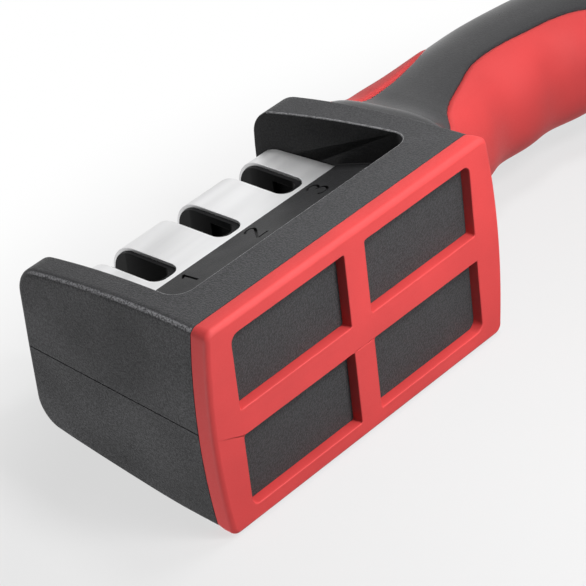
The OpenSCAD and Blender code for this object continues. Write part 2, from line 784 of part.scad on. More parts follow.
module shell_screws() {
    color([0.7, 0.7, 0.72]) for (p = shell_screw_places())
        translate([p[0], screw_seat, p[1]]) rotate([90, 0, 0])
            screw(screw_r, screw_seat + screw_reach, screw_head_r, screw_head_t);
}

front_shell();
rear_shell();
front_base_frame();
rear_base_frame();
mirror([0, 1, 0]) lower_grip();  // front_lower_grip
lower_grip();  // rear_lower_grip
mirror([0, 1, 0]) thumb_grip();  // front_thumb_grip
thumb_grip();  // rear_thumb_grip
saddle_cover();
stage_carrier();
carrier_plate();
plate_screws();
carbide_blade_front();
carbide_blade_rear();
blade_screw();
axle(slot_xs[1]);  // coarse_axle
wheel(slot_xs[1], -1, [0.42, 0.43, 0.45]);  // coarse_wheel_near
wheel(slot_xs[1], 1, [0.42, 0.43, 0.45]);  // coarse_wheel_far
axle(slot_xs[2]);  // fine_axle
wheel(slot_xs[2], -1, [0.9, 0.89, 0.86]);  // fine_wheel_near
wheel(slot_xs[2], 1, [0.9, 0.89, 0.86]);  // fine_wheel_far
thrust_washers();
shell_screws();
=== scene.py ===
import math
from functools import partial

import bmesh
import bpy
import numpy as np
from mathutils import Matrix, Vector, kdtree


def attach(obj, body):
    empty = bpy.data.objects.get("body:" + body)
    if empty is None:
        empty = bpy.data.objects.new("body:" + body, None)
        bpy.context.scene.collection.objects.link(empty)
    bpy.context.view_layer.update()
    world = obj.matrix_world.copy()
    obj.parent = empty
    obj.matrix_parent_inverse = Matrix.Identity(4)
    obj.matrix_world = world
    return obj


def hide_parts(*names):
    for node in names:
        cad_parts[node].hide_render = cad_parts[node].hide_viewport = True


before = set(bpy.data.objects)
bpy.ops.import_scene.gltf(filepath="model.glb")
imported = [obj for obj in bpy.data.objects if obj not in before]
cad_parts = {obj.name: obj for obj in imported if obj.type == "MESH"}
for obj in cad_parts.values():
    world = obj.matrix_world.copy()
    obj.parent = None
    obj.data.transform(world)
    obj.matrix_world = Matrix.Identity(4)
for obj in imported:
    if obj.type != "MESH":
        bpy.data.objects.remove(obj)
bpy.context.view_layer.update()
MM = 0.001
HOUSING = "housing"
HALVES = (("rear", False), ("front", True))

# The camera, solved from the photograph's straight edges
VIEW_X = (0.6474, 0.1031, -0.7551)
VIEW_AWAY = (0.6025, 0.5375, 0.5900)
CAMERA_AT = (-394.3, -355.1, -367.7)
FOCAL_PIXELS = 3201.1
FRAME_PIXELS = 586
SENSOR_MM = 36
CLIP_START, CLIP_END = 0.05, 5

# Sizes of the part in millimetres, the same as the solids have
HEAD_L, HEAD_W, HEAD_H = 86.0, 47.6, 57.0
END_BOW, RIDGE_BOW, END_LEAN, NECK_LEAN, SIDE_LEAN = 1.9, 0.3, 3.4, 0.8, 5.3
CROWN_R, CHEEK_T, STEP_H, STEP_R = 7.0, 6.3, 14.2, 4.0
FRAME_T, FRAME_FLARE, FRAME_ROUND, FRAME_CORNER_R = 4.7, 0.4, 1.2, 1.9
SIDE_RAIL, END_STILE, MID_BAR, MID_STILE = 3.5, 5.9, 6.1, 6.3
WINDOW_DEPTH, WINDOW_R, WINDOW_INNER_R = 2.4, 2.0, 0.5
SADDLE_W, SADDLE_H, SADDLE_R, COVER_T = 21.2, 56.9, 7.0, 0.8
LEDGE_H, LEDGE_W, LEDGE_LIP = 35.0, 34.6, 0.3
SLOT_PITCH, SLOT_SHIFT, SLOT_W, SLOT_FLOOR, SLOT_R = 19.9, 3.3, 7.4, 36.4, 2.8
NUMERAL_H, NUMERAL_W, STROKE_W, STROKE_DEPTH = 6.2, 3.2, 0.62, 0.6
NUMERAL_DROP, NUMERAL_SLANT, HIGH_BOW_SHARE = 1.7, math.radians(14), 0.23
WALL, FIT, FLOOR_H = 2.2, 0.1, 6.9
HANDLE_L, GRIP_W, GRIP_H = 123.0, 28.0, 32.0
WAVE_DEPTH, WAVE_PITCH, WAVE_START_SHARE, WAVE_COUNT = 1.2, 19.0, 0.228, 2
ROOT_H_SHARE, ROOT_W_SHARE, NECK_SHARE = 0.6119, 0.5882, 0.154
TAIL_CAD_SHARE = 0.951
SCREW_HEAD_R, SCREW_SEAT = 2.6, 7.0
HEAD_SCREW = (0.895 * HEAD_L / 2, 0.182 * HEAD_H)
GRIP_SCREW_SHARES = (0.2, 0.56, 0.76)
SLOT_XS = tuple(SLOT_SHIFT + k * SLOT_PITCH for k in (-1, 0, 1))
CORE_W = SADDLE_W - 2 * COVER_T
HANDLE_X = HEAD_L / 2
TAIL_X = HANDLE_X + HANDLE_L
TAIL_START = TAIL_X - GRIP_W / 3
TAIL_END = TAIL_START + TAIL_CAD_SHARE * (TAIL_X - TAIL_START)
SIDE_RISE = HEAD_H - FRAME_T

# Cross sections of the handle: place along it, height of the middle, height, width, power of the
# rounded outline, and how much wider it is below than above
SECTION_SHARES = np.array([
    [-0.05, 0.4618, 1.484, 1.580, 3.8, 0.12],
    [0.000, 0.4589, 1.456, 1.600, 3.4, 0.12],
    [0.020, 0.4713, 1.403, 1.543, 3.4, 0.11],
    [0.049, 0.5134, 1.341, 1.300, 3.4, 0.07],
    [0.098, 0.5851, 1.131, 1.093, 3.0, 0.03],
    [0.154, 0.6189, 1.081, 1.029, 2.6, 0],
    [0.220, 0.6418, 1.021, 1.007, 2.4, 0],
    [0.325, 0.6592, 0.961, 1.000, 2.4, 0],
    [0.423, 0.6545, 0.951, 1.000, 2.5, 0],
    [0.520, 0.6262, 0.958, 1.000, 2.5, 0],
    [0.602, 0.5924, 0.945, 0.993, 2.5, 0],
    [0.707, 0.5292, 0.894, 0.964, 2.5, 0],
    [0.829, 0.4300, 0.788, 0.900, 2.4, 0],
    [0.935, 0.3265, 0.700, 0.843, 2.3, 0],
    [1.000, 0.2600, 0.662, 0.814, 2.2, 0]])
MIDDLE, HIGH, WIDE, POWER, FLARE = range(1, 6)
# Borders of the grips: place along the handle and height, 1 at the top and -1 at the bottom
LOWER_EDGE = np.array([
    [-0.06, -0.923], [0.000, -0.852], [0.045, -0.877], [0.090, -0.943], [0.130, -0.790],
    [0.155, -0.648], [0.185, -0.556], [0.220, -0.495], [0.250, -0.442], [0.280, -0.375],
    [0.310, -0.328], [0.350, -0.314], [0.400, -0.335], [0.450, -0.365], [0.500, -0.382],
    [0.540, -0.419], [0.575, -0.485], [0.610, -0.613], [0.645, -0.785], [0.672, -1.010],
    [0.690, -1.334]])
THUMB_EDGE = np.array([
    [-0.06, 0.960], [0.000, 0.900], [0.025, 0.700], [0.050, 0.500], [0.085, 0.418],
    [0.118, 0.385], [0.150, 0.371], [0.180, 0.374], [0.211, 0.402], [0.260, 0.482],
    [0.300, 0.586], [0.340, 0.734], [0.385, 0.909], [0.425, 1.152]])


# ---- Curves of the part ----

def side_arc_radius():
    """Radius of the bowed long sides of the head"""
    return (SIDE_RISE ** 2 + SIDE_LEAN ** 2) / (2 * SIDE_LEAN)


def side_y(z):
    """How far a long side of the head stands from the middle"""
    radius = side_arc_radius()
    return HEAD_W / 2 - radius + math.sqrt(radius ** 2 - (z - FRAME_T) ** 2)


def inner_x(z):
    """How far the inner face of a cheek stands from the middle"""
    return HEAD_L / 2 - CHEEK_T - END_LEAN / SIDE_RISE * (z - FRAME_T)


def end_x(y, z, side=-1):
    """How far an end face stands from the middle, on the handle's side if side is positive"""
    rise = (z - FRAME_T) / SIDE_RISE
    lean = NECK_LEAN if side > 0 else END_LEAN
    bow = END_BOW + (RIDGE_BOW - END_BOW) * rise
    return HEAD_L / 2 - lean * rise + bow * (1 - (2 * y / HEAD_W) ** 2)


def smooth_at(table, x, column):
    """A smooth curve through one column of a table whose first column is the place"""
    places, values = table[:, 0], table[:, column]
    last = len(places) - 1
    slopes = np.array([(values[min(i + 1, last)] - values[max(i - 1, 0)])
                       / (places[min(i + 1, last)] - places[max(i - 1, 0)])
                       for i in range(last + 1)])
    x = np.asarray(x, float)
    i = np.clip(np.searchsorted(places, x, side="right") - 1, 0, last - 1)
    h = places[i + 1] - places[i]
    s = (x - places[i]) / h
    return ((1 + 2 * s) * (1 - s) ** 2 * values[i] + s * (1 - s) ** 2 * h * slopes[i]
            + s * s * (3 - 2 * s) * values[i + 1] + s * s * (s - 1) * h * slopes[i + 1])


def along_share(x):
    return (np.asarray(x, float) - HANDLE_X) / HANDLE_L


def section_at(x, column):
    return smooth_at(SECTION_SHARES, along_share(x), column)


def blend_at(x, grip, root):
    """The root's size at the head, passing into the grip's size along the neck"""
    pull = (1 + np.cos(math.pi * np.clip(along_share(x) / NECK_SHARE, 0, 1))) / 2
    return grip + pull * (root - grip)


def middle_z(x):
    return FRAME_T + SIDE_RISE * section_at(x, MIDDLE)


def half_h(x):
    size = blend_at(x, GRIP_H, ROOT_H_SHARE * SIDE_RISE)
    return size / 2 * section_at(x, HIGH)


def half_w(x):
    size = blend_at(x, GRIP_W, ROOT_W_SHARE * HEAD_W)
    return size / 2 * section_at(x, WIDE)


def wave(x):
    """Depth of the finger dents under the grip"""
    s = (np.asarray(x, float) - HANDLE_X - WAVE_START_SHARE * HANDLE_L) / WAVE_PITCH
    inside = (s > 0) & (s < WAVE_COUNT)
    return np.where(inside, WAVE_DEPTH * (1 - np.cos(2 * math.pi * s)) / 2, 0)


def tail_scale(x):
    """How the cross section closes towards the handle's round end"""
    t = (np.asarray(x, float) - TAIL_START) / (TAIL_END - TAIL_START)
    return np.sqrt(np.clip(1 - np.clip(t, 0, 1) ** 2, 0, None))


def section_points(x, v):
    """Points of one cross section of the handle's +Y half, at the angles v"""
    power, flare = section_at(x, POWER), section_at(x, FLARE)
    up = np.sign(np.sin(v)) * np.abs(np.sin(v)) ** (2 / power)
    out = np.abs(np.cos(v)) ** (2 / power)
    high = np.where(up < 0, half_h(x) - wave(x), half_h(x)) * tail_scale(x)
    wide = half_w(x) * tail_scale(x)
    y = wide * out * (1 - flare * up)
    z = middle_z(x) + high * up
    return np.stack([np.full_like(y, x), y, z], axis=1), up


# ---- Mesh making, in millimetres ----

# How far a tool reaches past what it cuts, and distances at which places count as the same
OVER = 1
NEAR, TINY = 0.01, 1e-9
MERGE_HEAD, MERGE_SHARP, MERGE_COPY, MERGE_SHEET = 0.02, 0.01, 0.005, 1e-4
FLAT_ANGLE, COPY_FLAT_ANGLE = math.radians(0.6), math.radians(0.5)
BEVEL_ANGLE, SHARP_ANGLE = math.radians(32), math.radians(35)
DRUM_STEPS, ARC_STEPS, SMALL_ARC_STEPS = 32, 8, 3


def add_object(name, data):
    obj = bpy.data.objects.new(name, data)
    bpy.context.scene.collection.objects.link(obj)
    return obj


def new_object(name, points, faces):
    mesh = bpy.data.meshes.new(name)
    mesh.from_pydata([tuple(map(float, p)) for p in points], [], faces)
    obj = add_object(name, mesh)
    edit(obj, lambda b: bmesh.ops.recalc_face_normals(b, faces=b.faces))
    return obj


def edit(obj, *steps):
    """Runs the steps, each a function of the open mesh"""
    b = bmesh.new()
    b.from_mesh(obj.data)
    for step in steps:
        step(b)
    b.to_mesh(obj.data)
    b.free()
    obj.data.update()


def discard(obj):
    mesh = obj.data
    bpy.data.objects.remove(obj)
    bpy.data.meshes.remove(mesh)


def settle(obj):
    """Puts the result of the modifiers into the mesh"""
    graph = bpy.context.evaluated_depsgraph_get()
    mesh = bpy.data.meshes.new_from_object(obj.evaluated_get(graph))
    obj.modifiers.clear()
    old, obj.data = obj.data, mesh
    bpy.data.meshes.remove(old)


def carve(obj, tool, operation="DIFFERENCE"):
    """Joins or cuts an object with a tool, which is used up"""
    step = obj.modifiers.new("carve", "BOOLEAN")
    step.object = tool
    step.operation = operation
    step.solver = "EXACT"
    settle(obj)
    discard(tool)


def prism(outline, axis, low, high):
    """An outline run along an axis; for x it holds (y, z), for y (x, z), for z (x, y)"""
    turn = {"x": lambda p, h: (h, p[0], p[1]), "y": lambda p, h: (p[0], h, p[1]),
            "z": lambda p, h: (p[0], p[1], h)}[axis]
    n = len(outline)
    points = [turn(p, low) for p in outline] + [turn(p, high) for p in outline]
    sides = [(j, (j + 1) % n, n + (j + 1) % n, n + j) for j in range(n)]
    return new_object("tool", points, [tuple(range(n)), tuple(range(n, 2 * n))] + sides)


def arc(cx, cy, r, start, end, steps):
    angles = [math.radians(start + (end - start) * i / steps) for i in range(steps + 1)]
    return [(cx + r * math.cos(a), cy + r * math.sin(a)) for a in angles]


def mirrored(points):
    """An outline closed by its mirror image across the second axis"""
    return points + [(-p[0], p[1]) for p in reversed(points)]


def merge_close(distance):
    return lambda b: bmesh.ops.remove_doubles(b, verts=b.verts, dist=distance)


def flatten_planes(angle):
    return lambda b: bmesh.ops.dissolve_limit(
        b, angle_limit=angle, verts=b.verts, edges=b.edges,
        use_dissolve_boundaries=False, delimit=set())


def bevel_edges(pick, width, segments=2):
    """Rounds the sharp edges that pick(first corner, second corner) chooses"""
    def step(b):
        chosen = [e for e in b.edges if len(e.link_faces) == 2
                  and e.calc_face_angle(0) > BEVEL_ANGLE
                  and pick(e.verts[0].co, e.verts[1].co)]
        bmesh.ops.bevel(b, geom=chosen, offset=width, offset_type="OFFSET", affect="EDGES",
                        segments=segments, profile=0.5, clamp_overlap=False)
    return step


def every_edge(a, b):
    return True


def mirror_y(obj):
    """Turns a piece of the rear half into its twin on the front half"""
    obj.data.transform(Matrix.Scale(-1, 4, Vector((0, 1, 0))))
    obj.data.flip_normals()


def finish_piece(obj, name, material, nodes, body=HOUSING, crisp=True):
    """Turns a mesh in millimetres into a piece of the scene"""
    obj.name = name
    obj.data.name = name
    obj.data.transform(Matrix.Scale(MM, 4))
    obj.data.shade_smooth()
    obj.data.materials.clear()
    obj.data.materials.append(material)
    if crisp:
        obj.data.set_sharp_from_angle(angle=SHARP_ANGLE)
        step = obj.modifiers.new("even_normals", "WEIGHTED_NORMAL")
        step.keep_sharp = True
    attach(obj, body)
    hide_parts(*nodes)


# ---- Head ----

SIDE_STEPS, CROWN_STEPS, CAP_STEPS, FILLET_STEPS = 18, 12, 10, 6
EDGE_R = 1.5
# How far the window panels end below the floor's upper side
PANEL_SINK = 0.3
BOW_STEPS, LOW_BOW_STEPS = 12, 14
SEAM_GAP = 0.09
OUTSIDE_ROUND, SEAM_ROUND, FOOT_ROUND = 0.3, 0.08, 0.15
# Bounds by which the channel's rim, which gets a painted highlight, and its inside, which gets
# painted shade, are told from the rest
OUTSIDE_Y, OUTSIDE_DROP = 10, 1
RIM_LEANS, RIM_REACH = (0.2, 0.985), 0.35
CHANNEL_REACH, CHANNEL_INSET = 0.1, 0.2


def head_outline():
    """Half outline across the head with its outward directions, from the frame to the ridge"""
    radius = side_arc_radius()
    crown_a = math.asin((HEAD_H - CROWN_R - FRAME_T) / radius)
    crown_z = HEAD_H - CROWN_R * (1 - math.sin(crown_a))
    points = []
    for i in range(SIDE_STEPS + 1):
        z = FRAME_T + (crown_z - FRAME_T) * i / SIDE_STEPS
        rise = (z - FRAME_T) / radius
        points.append((side_y(z), z, math.sqrt(1 - rise ** 2), rise))
    centre_y = side_y(crown_z) - CROWN_R * math.cos(crown_a)
    for i in range(1, CROWN_STEPS + 1):
        a = crown_a + (math.pi / 2 - crown_a) * i / CROWN_STEPS
        points.append((centre_y + CROWN_R * math.cos(a),
                       HEAD_H - CROWN_R * (1 - math.sin(a)), math.cos(a), math.sin(a)))
    rim = len(points) - 1
    top_y = points[-1][0]
    points += [(top_y * (CAP_STEPS - i) / CAP_STEPS, HEAD_H, 0.0, 1.0)
               for i in range(1, CAP_STEPS + 1)]
    return points, rim


def head_block():
    """Rear half of the head with rounded ends, still without its channel"""
    outline, rim = head_outline()
    points, index = [], {}

    def place(key, x, y, z):
        index[key] = len(points)
        points.append((x, y, z))

    def inset(j, r):
        y, z, ny, nz = outline[j]
        return y - ny * r, z - nz * r

    for side in (1, -1):
        for j in range(rim + 1):
            y_end, z = inset(j, EDGE_R)
            for i in range(CAP_STEPS + 1):
                y = y_end * i / CAP_STEPS
                place((side, "cap", j, i), side * end_x(y, z, side), y, z)
        for j in range(len(outline)):
            for m in range(FILLET_STEPS):
                a = math.pi / 2 * m / FILLET_STEPS
                y, z = inset(j, EDGE_R * (1 - math.cos(a)))
                x = end_x(y, z, side) - EDGE_R * (1 - math.sin(a))
                place((side, "fillet", j, m), side * x, y, z)
            key = ("cap", j, CAP_STEPS) if j <= rim else ("cap", rim, CAP_STEPS - (j - rim))
            index[(side, "fillet", j, FILLET_STEPS)] = index[(side,) + key]
    last = len(outline) - 1
    faces = []

    def add_quads(side, kind, rows, columns):
        for j in range(rows):
            for i in range(columns):
                corners = [(j, i), (j, i + 1), (j + 1, i + 1), (j + 1, i)]
                faces.append([index[(side, kind) + c] for c in corners])

    def add_flat(row, caps):
        """The flat face along one edge of the outline, from end cap to end cap"""
        half = caps + [("fillet", row, m) for m in reversed(range(FILLET_STEPS))]
        faces.append([index[(1,) + key] for key in half]
                     + [index[(-1,) + key] for key in reversed(half)])

    for side in (1, -1):
        add_quads(side, "cap", rim, CAP_STEPS)
        add_quads(side, "fillet", last, FILLET_STEPS)
    for j in range(last):
        faces.append([index[(side, "fillet", row, 0)]
                      for side, row in ((1, j), (1, j + 1), (-1, j + 1), (-1, j))])
    add_flat(last, [("cap", j, 0) for j in range(rim + 1)])
    add_flat(0, [("cap", 0, i) for i in range(CAP_STEPS + 1)])
    return new_object("head", points, faces)


def channel_outline():
    """The opening between the cheeks, seen from the side"""
    corner_x = inner_x(STEP_H + STEP_R) - STEP_R
    top = HEAD_H + 2 * OVER
    corner = arc(corner_x, STEP_H + STEP_R, STEP_R, -90, 0, ARC_STEPS)
    return mirrored(corner + [(inner_x(top), top)])


def ledge_outline():
    """Half of the sloping ledge under the saddle, seen along the head"""
    foot = STEP_H - WALL
    return [(0, foot), (LEDGE_W / 2, foot), (LEDGE_W / 2, STEP_H),
            (SADDLE_W / 2 + LEDGE_LIP, LEDGE_H), (0, LEDGE_H)]


def window_outline(x_side, y_side, clear=0.0):
    """A window of the base frame, round at its outermost corner"""
    x0, y0 = MID_STILE / 2 + clear, MID_BAR / 2 + clear
    x1, y1 = HEAD_L / 2 - END_STILE - clear, HEAD_W / 2 - SIDE_RAIL - clear
    r = WINDOW_INNER_R
    points = (arc(x0 + r, y0 + r, r, 180, 270, SMALL_ARC_STEPS)
              + arc(x1 - r, y0 + r, r, 270, 360, SMALL_ARC_STEPS)
              + arc(x1 - WINDOW_R, y1 - WINDOW_R, WINDOW_R, 0, 90, ARC_STEPS)
              + arc(x0 + r, y1 - r, r, 90, 180, SMALL_ARC_STEPS))
    return [(x_side * x, y_side * y) for x, y in points]


def drum(x, z, r, low, high):
    """A round bar along Y"""
    return prism(arc(x, z, r, 0, 360 - 360 / DRUM_STEPS, DRUM_STEPS - 1), "y", low, high)


def stroke(path):
    """Outline of an even stroke along a path"""
    p = np.array([(x + y * math.tan(NUMERAL_SLANT), y) for x, y in path])
    d = np.array([p[min(i + 1, len(p) - 1)] - p[max(i - 1, 0)] for i in range(len(p))])
    side = STROKE_W / 2 * np.stack([-d[:, 1], d[:, 0]], 1) / np.linalg.norm(d, axis=1)[:, None]
    return [tuple(q) for q in p + side] + [tuple(q) for q in (p - side)[::-1]]


def numeral_strokes(number):
    """Outlines of the strokes of 1, 2 or 3 about its middle"""
    h, w = NUMERAL_H, NUMERAL_W
    if number == 1:
        return [stroke([(0, -h / 2), (0, h / 2)]),
                stroke([(-w / 3, h / 4), (STROKE_W / 2, h / 2)])]
    if number == 2:
        r = (w - STROKE_W) / 2
        bow = arc(0, h / 2 - r, r, 170, -40, BOW_STEPS)
        foot = (-w / 2, -h / 2)
        return [stroke(bow + [foot]), stroke([foot, (w / 2, -h / 2)])]
    high_r = HIGH_BOW_SHARE * h
    low_r = h / 2 - high_r
    return [stroke(arc(0, h / 2 - high_r, high_r, 160, -90, BOW_STEPS)),
            stroke(arc(0, low_r - h / 2, low_r, 90, -160, LOW_BOW_STEPS))]


def engrave_numerals(obj):
    """Cuts the three numerals into the sloping ledge of the numbered side"""
    rise, run = LEDGE_H - STEP_H, LEDGE_W / 2 - SADDLE_W / 2 - LEDGE_LIP
    slope = math.atan2(rise, run)
    down = (NUMERAL_DROP + NUMERAL_H / 2) / math.hypot(rise, run)
    for x, number in zip(SLOT_XS, (1, 2, 3)):
        for outline in numeral_strokes(number):
            tool = prism(outline, "z", -STROKE_DEPTH, OVER)
            place = Matrix.Translation((x, -SADDLE_W / 2 - LEDGE_LIP - down * run,
                                        LEDGE_H - down * rise))
            tool.data.transform(place @ Matrix.Rotation(slope, 4, "X"))
            carve(obj, tool)


def head_half():
    """The rear half of the head's shell with its channel, ledge and window panels"""
    head = head_block()
    carve(head, prism(channel_outline(), "y", -OVER, HEAD_W))
    reach = HEAD_L / 2 - CHEEK_T / 2
    carve(head, prism(ledge_outline(), "x", -reach, reach), "UNION")
    low, high = FLOOR_H, HEAD_H + OVER
    pocket = [(-inner_x(low), low), (inner_x(low), low), (inner_x(high), high),
              (-inner_x(high), high)]
    carve(head, prism(pocket, "y", -OVER, CORE_W / 2 + FIT))
    for side in (1, -1):
        panel = window_outline(side, 1, FIT)
        carve(head, prism(panel, "z", WINDOW_DEPTH, FLOOR_H - PANEL_SINK), "UNION")
    edit(head, merge_close(MERGE_HEAD), flatten_planes(FLAT_ANGLE))
    return head


def on_outside(a, b):
    """Edges between the channel and the head's outside"""
    middle = (a + b) / 2
    return middle.y > OUTSIDE_Y and middle.z > STEP_H - OUTSIDE_DROP


def open_seam(b):
    """Draws the half back a little from the plane where the two halves meet"""
    for vert in b.verts:
        if abs(vert.co.y) < NEAR:
            vert.co.y = SEAM_GAP


def on_seam(a, b):
    return all(abs(p.y - SEAM_GAP) < NEAR and p.z > 0 for p in (a, b))


def on_foot(a, b):
    """Edges where the head meets its base frame"""
    return max(a.z, b.z) < FRAME_T + NEAR and min(a.z, b.z) > FRAME_T - NEAR


def round_head(head):
    edit(head, bevel_edges(on_outside, OUTSIDE_ROUND, 3), open_seam)
    edit(head, bevel_edges(on_seam, SEAM_ROUND))
    edit(head, bevel_edges(on_foot, FOOT_ROUND))


def on_rim(face):
    """Faces of the rounding along the channel's outer edge"""
    x, y, z = (abs(c) for c in face.center)
    steep, flat = RIM_LEANS
    return (steep < abs(face.normal.y) < flat and z > STEP_H - RIM_REACH
            and y > side_y(z) - RIM_REACH and x < inner_x(z) + RIM_REACH)


def in_channel(face):
    """Faces between the cheeks, with the ledge"""
    x, y, z = (abs(c) for c in face.center)
    return (z > STEP_H - CHANNEL_REACH and y < side_y(z) - CHANNEL_INSET
            and x < inner_x(z) + CHANNEL_REACH)


def make_heads(black, rim_highlight, smooth):
    """Both head halves: textured outside, smoother and darker in the channel, its darkness painted
    shade, with a painted highlight along its rim
    """
    for half, front in HALVES:
        head = head_half()
        round_head(head)
        if front:
            mirror_y(head)
            engrave_numerals(head)
        else:
            for side in (1, -1):
                carve(head, drum(side * HEAD_SCREW[0], HEAD_SCREW[1], SCREW_HEAD_R + FIT,
                                 SCREW_SEAT, HEAD_W))
        rims = [face.index for face in head.data.polygons if on_rim(face)]
        inside = [face.index for face in head.data.polygons if in_channel(face)]
        finish_piece(head, half + "_shell_head", black, [half + "_shell"])
        # The channel's faces get the darker plastic of painted shade, the rim's faces the painted
        # highlight
        for slot, (shade, faces) in enumerate(((smooth, inside), (rim_highlight, rims)), 1):
            head.data.materials.append(shade)
            for i in faces:
                head.data.polygons[i].material_index = slot


# ---- Base frame ----

END_STEPS, CORNER_STEPS = 10, 8
LIP, LIP_SHARE, LIP_STEPS = 0.25, 0.3, 6
BULGE, BULGE_HEIGHT_SHARE, BULGE_FLARE_SHARE = 0.12, 0.6, 0.5
BAR_LAP, WINDOW_ROUND, SLACK = 0.2, 0.22, 0.02


def frame_outline(out):
    """Half outline of the frame seen from below, its outer edge moved out"""
    r = FRAME_CORNER_R
    half = HEAD_W / 2
    corner_x = end_x(half - r, FRAME_T) - r
    points = [(end_x((half - r) * i / END_STEPS, FRAME_T) + out, (half - r) * i / END_STEPS)
              for i in range(END_STEPS + 1)]
    return mirrored(points + arc(corner_x, half - r, r + out, 0, 90, CORNER_STEPS)[1:])


def frame_levels():
    """Heights of the frame's side from the top down, each with how far it stands out"""
    levels = [(FRAME_T, -LIP), (FRAME_T - LIP_SHARE * LIP, -LIP_SHARE * LIP), (FRAME_T - LIP, 0),
              (FRAME_T * BULGE_HEIGHT_SHARE, FRAME_FLARE * BULGE_FLARE_SHARE + BULGE)]
    for i in range(LIP_STEPS + 1):
        a = math.pi / 2 * i / LIP_STEPS
        levels.append((FRAME_ROUND * (1 - math.sin(a)),
                       FRAME_FLARE - FRAME_ROUND * (1 - math.cos(a))))
    return levels


def frame_blank():
    """Half of the frame without its windows"""
    rings = [[(x, y, z) for x, y in frame_outline(out)] for z, out in frame_levels()]
    n = len(rings[0])
    faces = [tuple(range(n)), tuple((len(rings) - 1) * n + j for j in range(n))]
    faces += [(k * n + j, k * n + (j + 1) % n, (k + 1) * n + (j + 1) % n, (k + 1) * n + j)
              for k in range(len(rings) - 1) for j in range(n)]
    return new_object("frame", [p for ring in rings for p in ring], faces)


def bar_outline(low, high):
    x = HEAD_L / 2 - END_STILE
    return [(-x, low), (x, low), (x, high), (-x, high)]


def round_frame(frame_piece):
    """Softens the bottom rims of the windows"""
    edge_x = HEAD_L / 2 - END_STILE

    def soft_edge(a, b):
        m = (a + b) / 2
        inside = abs(m.x) < edge_x + SLACK and abs(m.y) < HEAD_W / 2 - SIDE_RAIL + SLACK
        return max(a.z, b.z) < NEAR and inside and abs(m.y) > MID_BAR / 2 - SLACK
    edit(frame_piece, bevel_edges(soft_edge, WINDOW_ROUND, 3))


def make_frames(red):
    """Both frame halves; the front one carries the whole middle bar"""
    for half, front in HALVES:
        frame_piece = frame_blank()
        if front:
            bar = bar_outline(-MID_BAR / 2, BAR_LAP)
            carve(frame_piece, prism(bar, "z", 0, FRAME_T), "UNION")
        else:
            bar = bar_outline(-OVER, MID_BAR / 2)
            carve(frame_piece, prism(bar, "z", -OVER, FRAME_T + OVER))
        for side in (1, -1):
            carve(frame_piece, prism(window_outline(side, 1), "z", -OVER, FRAME_T + OVER))
        edit(frame_piece, merge_close(MERGE_SHARP))
        round_frame(frame_piece)
        if front:
            mirror_y(frame_piece)
        finish_piece(frame_piece, half + "_frame_rubber", red,
                     [half + "_base_frame"])


# ---- Handle ----

GRID_MM, GRID_START, GRID_END = 0.45, 38.5, 131.0
ACROSS_STEPS, PLAIN_STEPS, TAIL_STEPS = 132, 26, 14
PROUD, GROOVE = 0.28, 0.45
RED_ROLL, BLACK_ROLL = 1.3, 0.45
OVERLAP = 1.2
ANGLE_SAMPLES, EDGE_SAMPLES, EDGE_LEAD, EDGE_SPACING = 721, 6000, 2, 0.2
OUT_OF_REACH = 9.0
WELL_BAND = 1.6


def run_lengths(points):
    """Length of a path up to each of its points"""
    return np.concatenate([[0], np.cumsum(np.linalg.norm(np.diff(points, axis=0), axis=1))])


def even_angles(x, steps):
    """Angles that split one half cross section into steps of equal length"""
    fine = np.linspace(-math.pi / 2, math.pi / 2, ANGLE_SAMPLES)
    points, _ = section_points(x, fine)
    length = run_lengths(points)
    if length[-1] == 0:
        return np.linspace(-math.pi / 2, math.pi / 2, steps + 1)
    return np.interp(np.linspace(0, length[-1], steps + 1), length, fine)


def handle_sheet(xs):
    """Grid of points on the +Y half of the handle, each with its relative height"""
    rows, ups = [], []
    for x in xs:
        points, up = section_points(x, even_angles(min(x, TAIL_END - NEAR), ACROSS_STEPS))
        rows.append(points)
        ups.append(up)
    return np.array(rows), np.array(ups)


def sheet_normals(grid):
    """Outward directions of a grid whose seam edges lie in the plane between the halves"""
    along = np.gradient(grid, axis=0)
    across = np.gradient(grid, axis=1)
    normal = np.cross(across, along)
    normal /= np.maximum(np.linalg.norm(normal, axis=2, keepdims=True), TINY)
    for edge in (0, -1):
        normal[:, edge, 1] = 0
        length = np.linalg.norm(normal[:, edge], axis=1, keepdims=True)
        normal[:, edge] /= np.maximum(length, TINY)
    outward = np.where(normal[:, ACROSS_STEPS // 2, 1] < 0, -1.0, 1.0)
    return normal * outward[:, None, None]


def edge_curve(table):
    """Points along the border of a grip, evenly close together"""
    end = HANDLE_X + table[-1, 0] * HANDLE_L
    xs = np.linspace(GRID_START - EDGE_LEAD, end, EDGE_SAMPLES)
    shares = smooth_at(table, along_share(xs), 1)
    keep = np.abs(shares) < 1
    first_out = np.argmax(~keep) if (~keep).any() else len(xs)
    points = []
    for x, share in zip(xs[:first_out], shares[:first_out]):
        power = float(section_at(x, POWER))
        high = float(half_h(x))
        if share < 0:
            share = max(-1.0, share * high / (high - float(wave(x))))
        v = math.copysign(math.asin(min(1, abs(share) ** (power / 2))), share)
        points.append(section_points(x, np.array([v]))[0][0])
    points = np.array(points)
    points = np.vstack([points, [points[-1][0], 0, points[-1][2]]])
    length = run_lengths(points)
    even = np.arange(0, length[-1], EDGE_SPACING)
    return np.stack([np.interp(even, length, points[:, k]) for k in range(3)], 1)


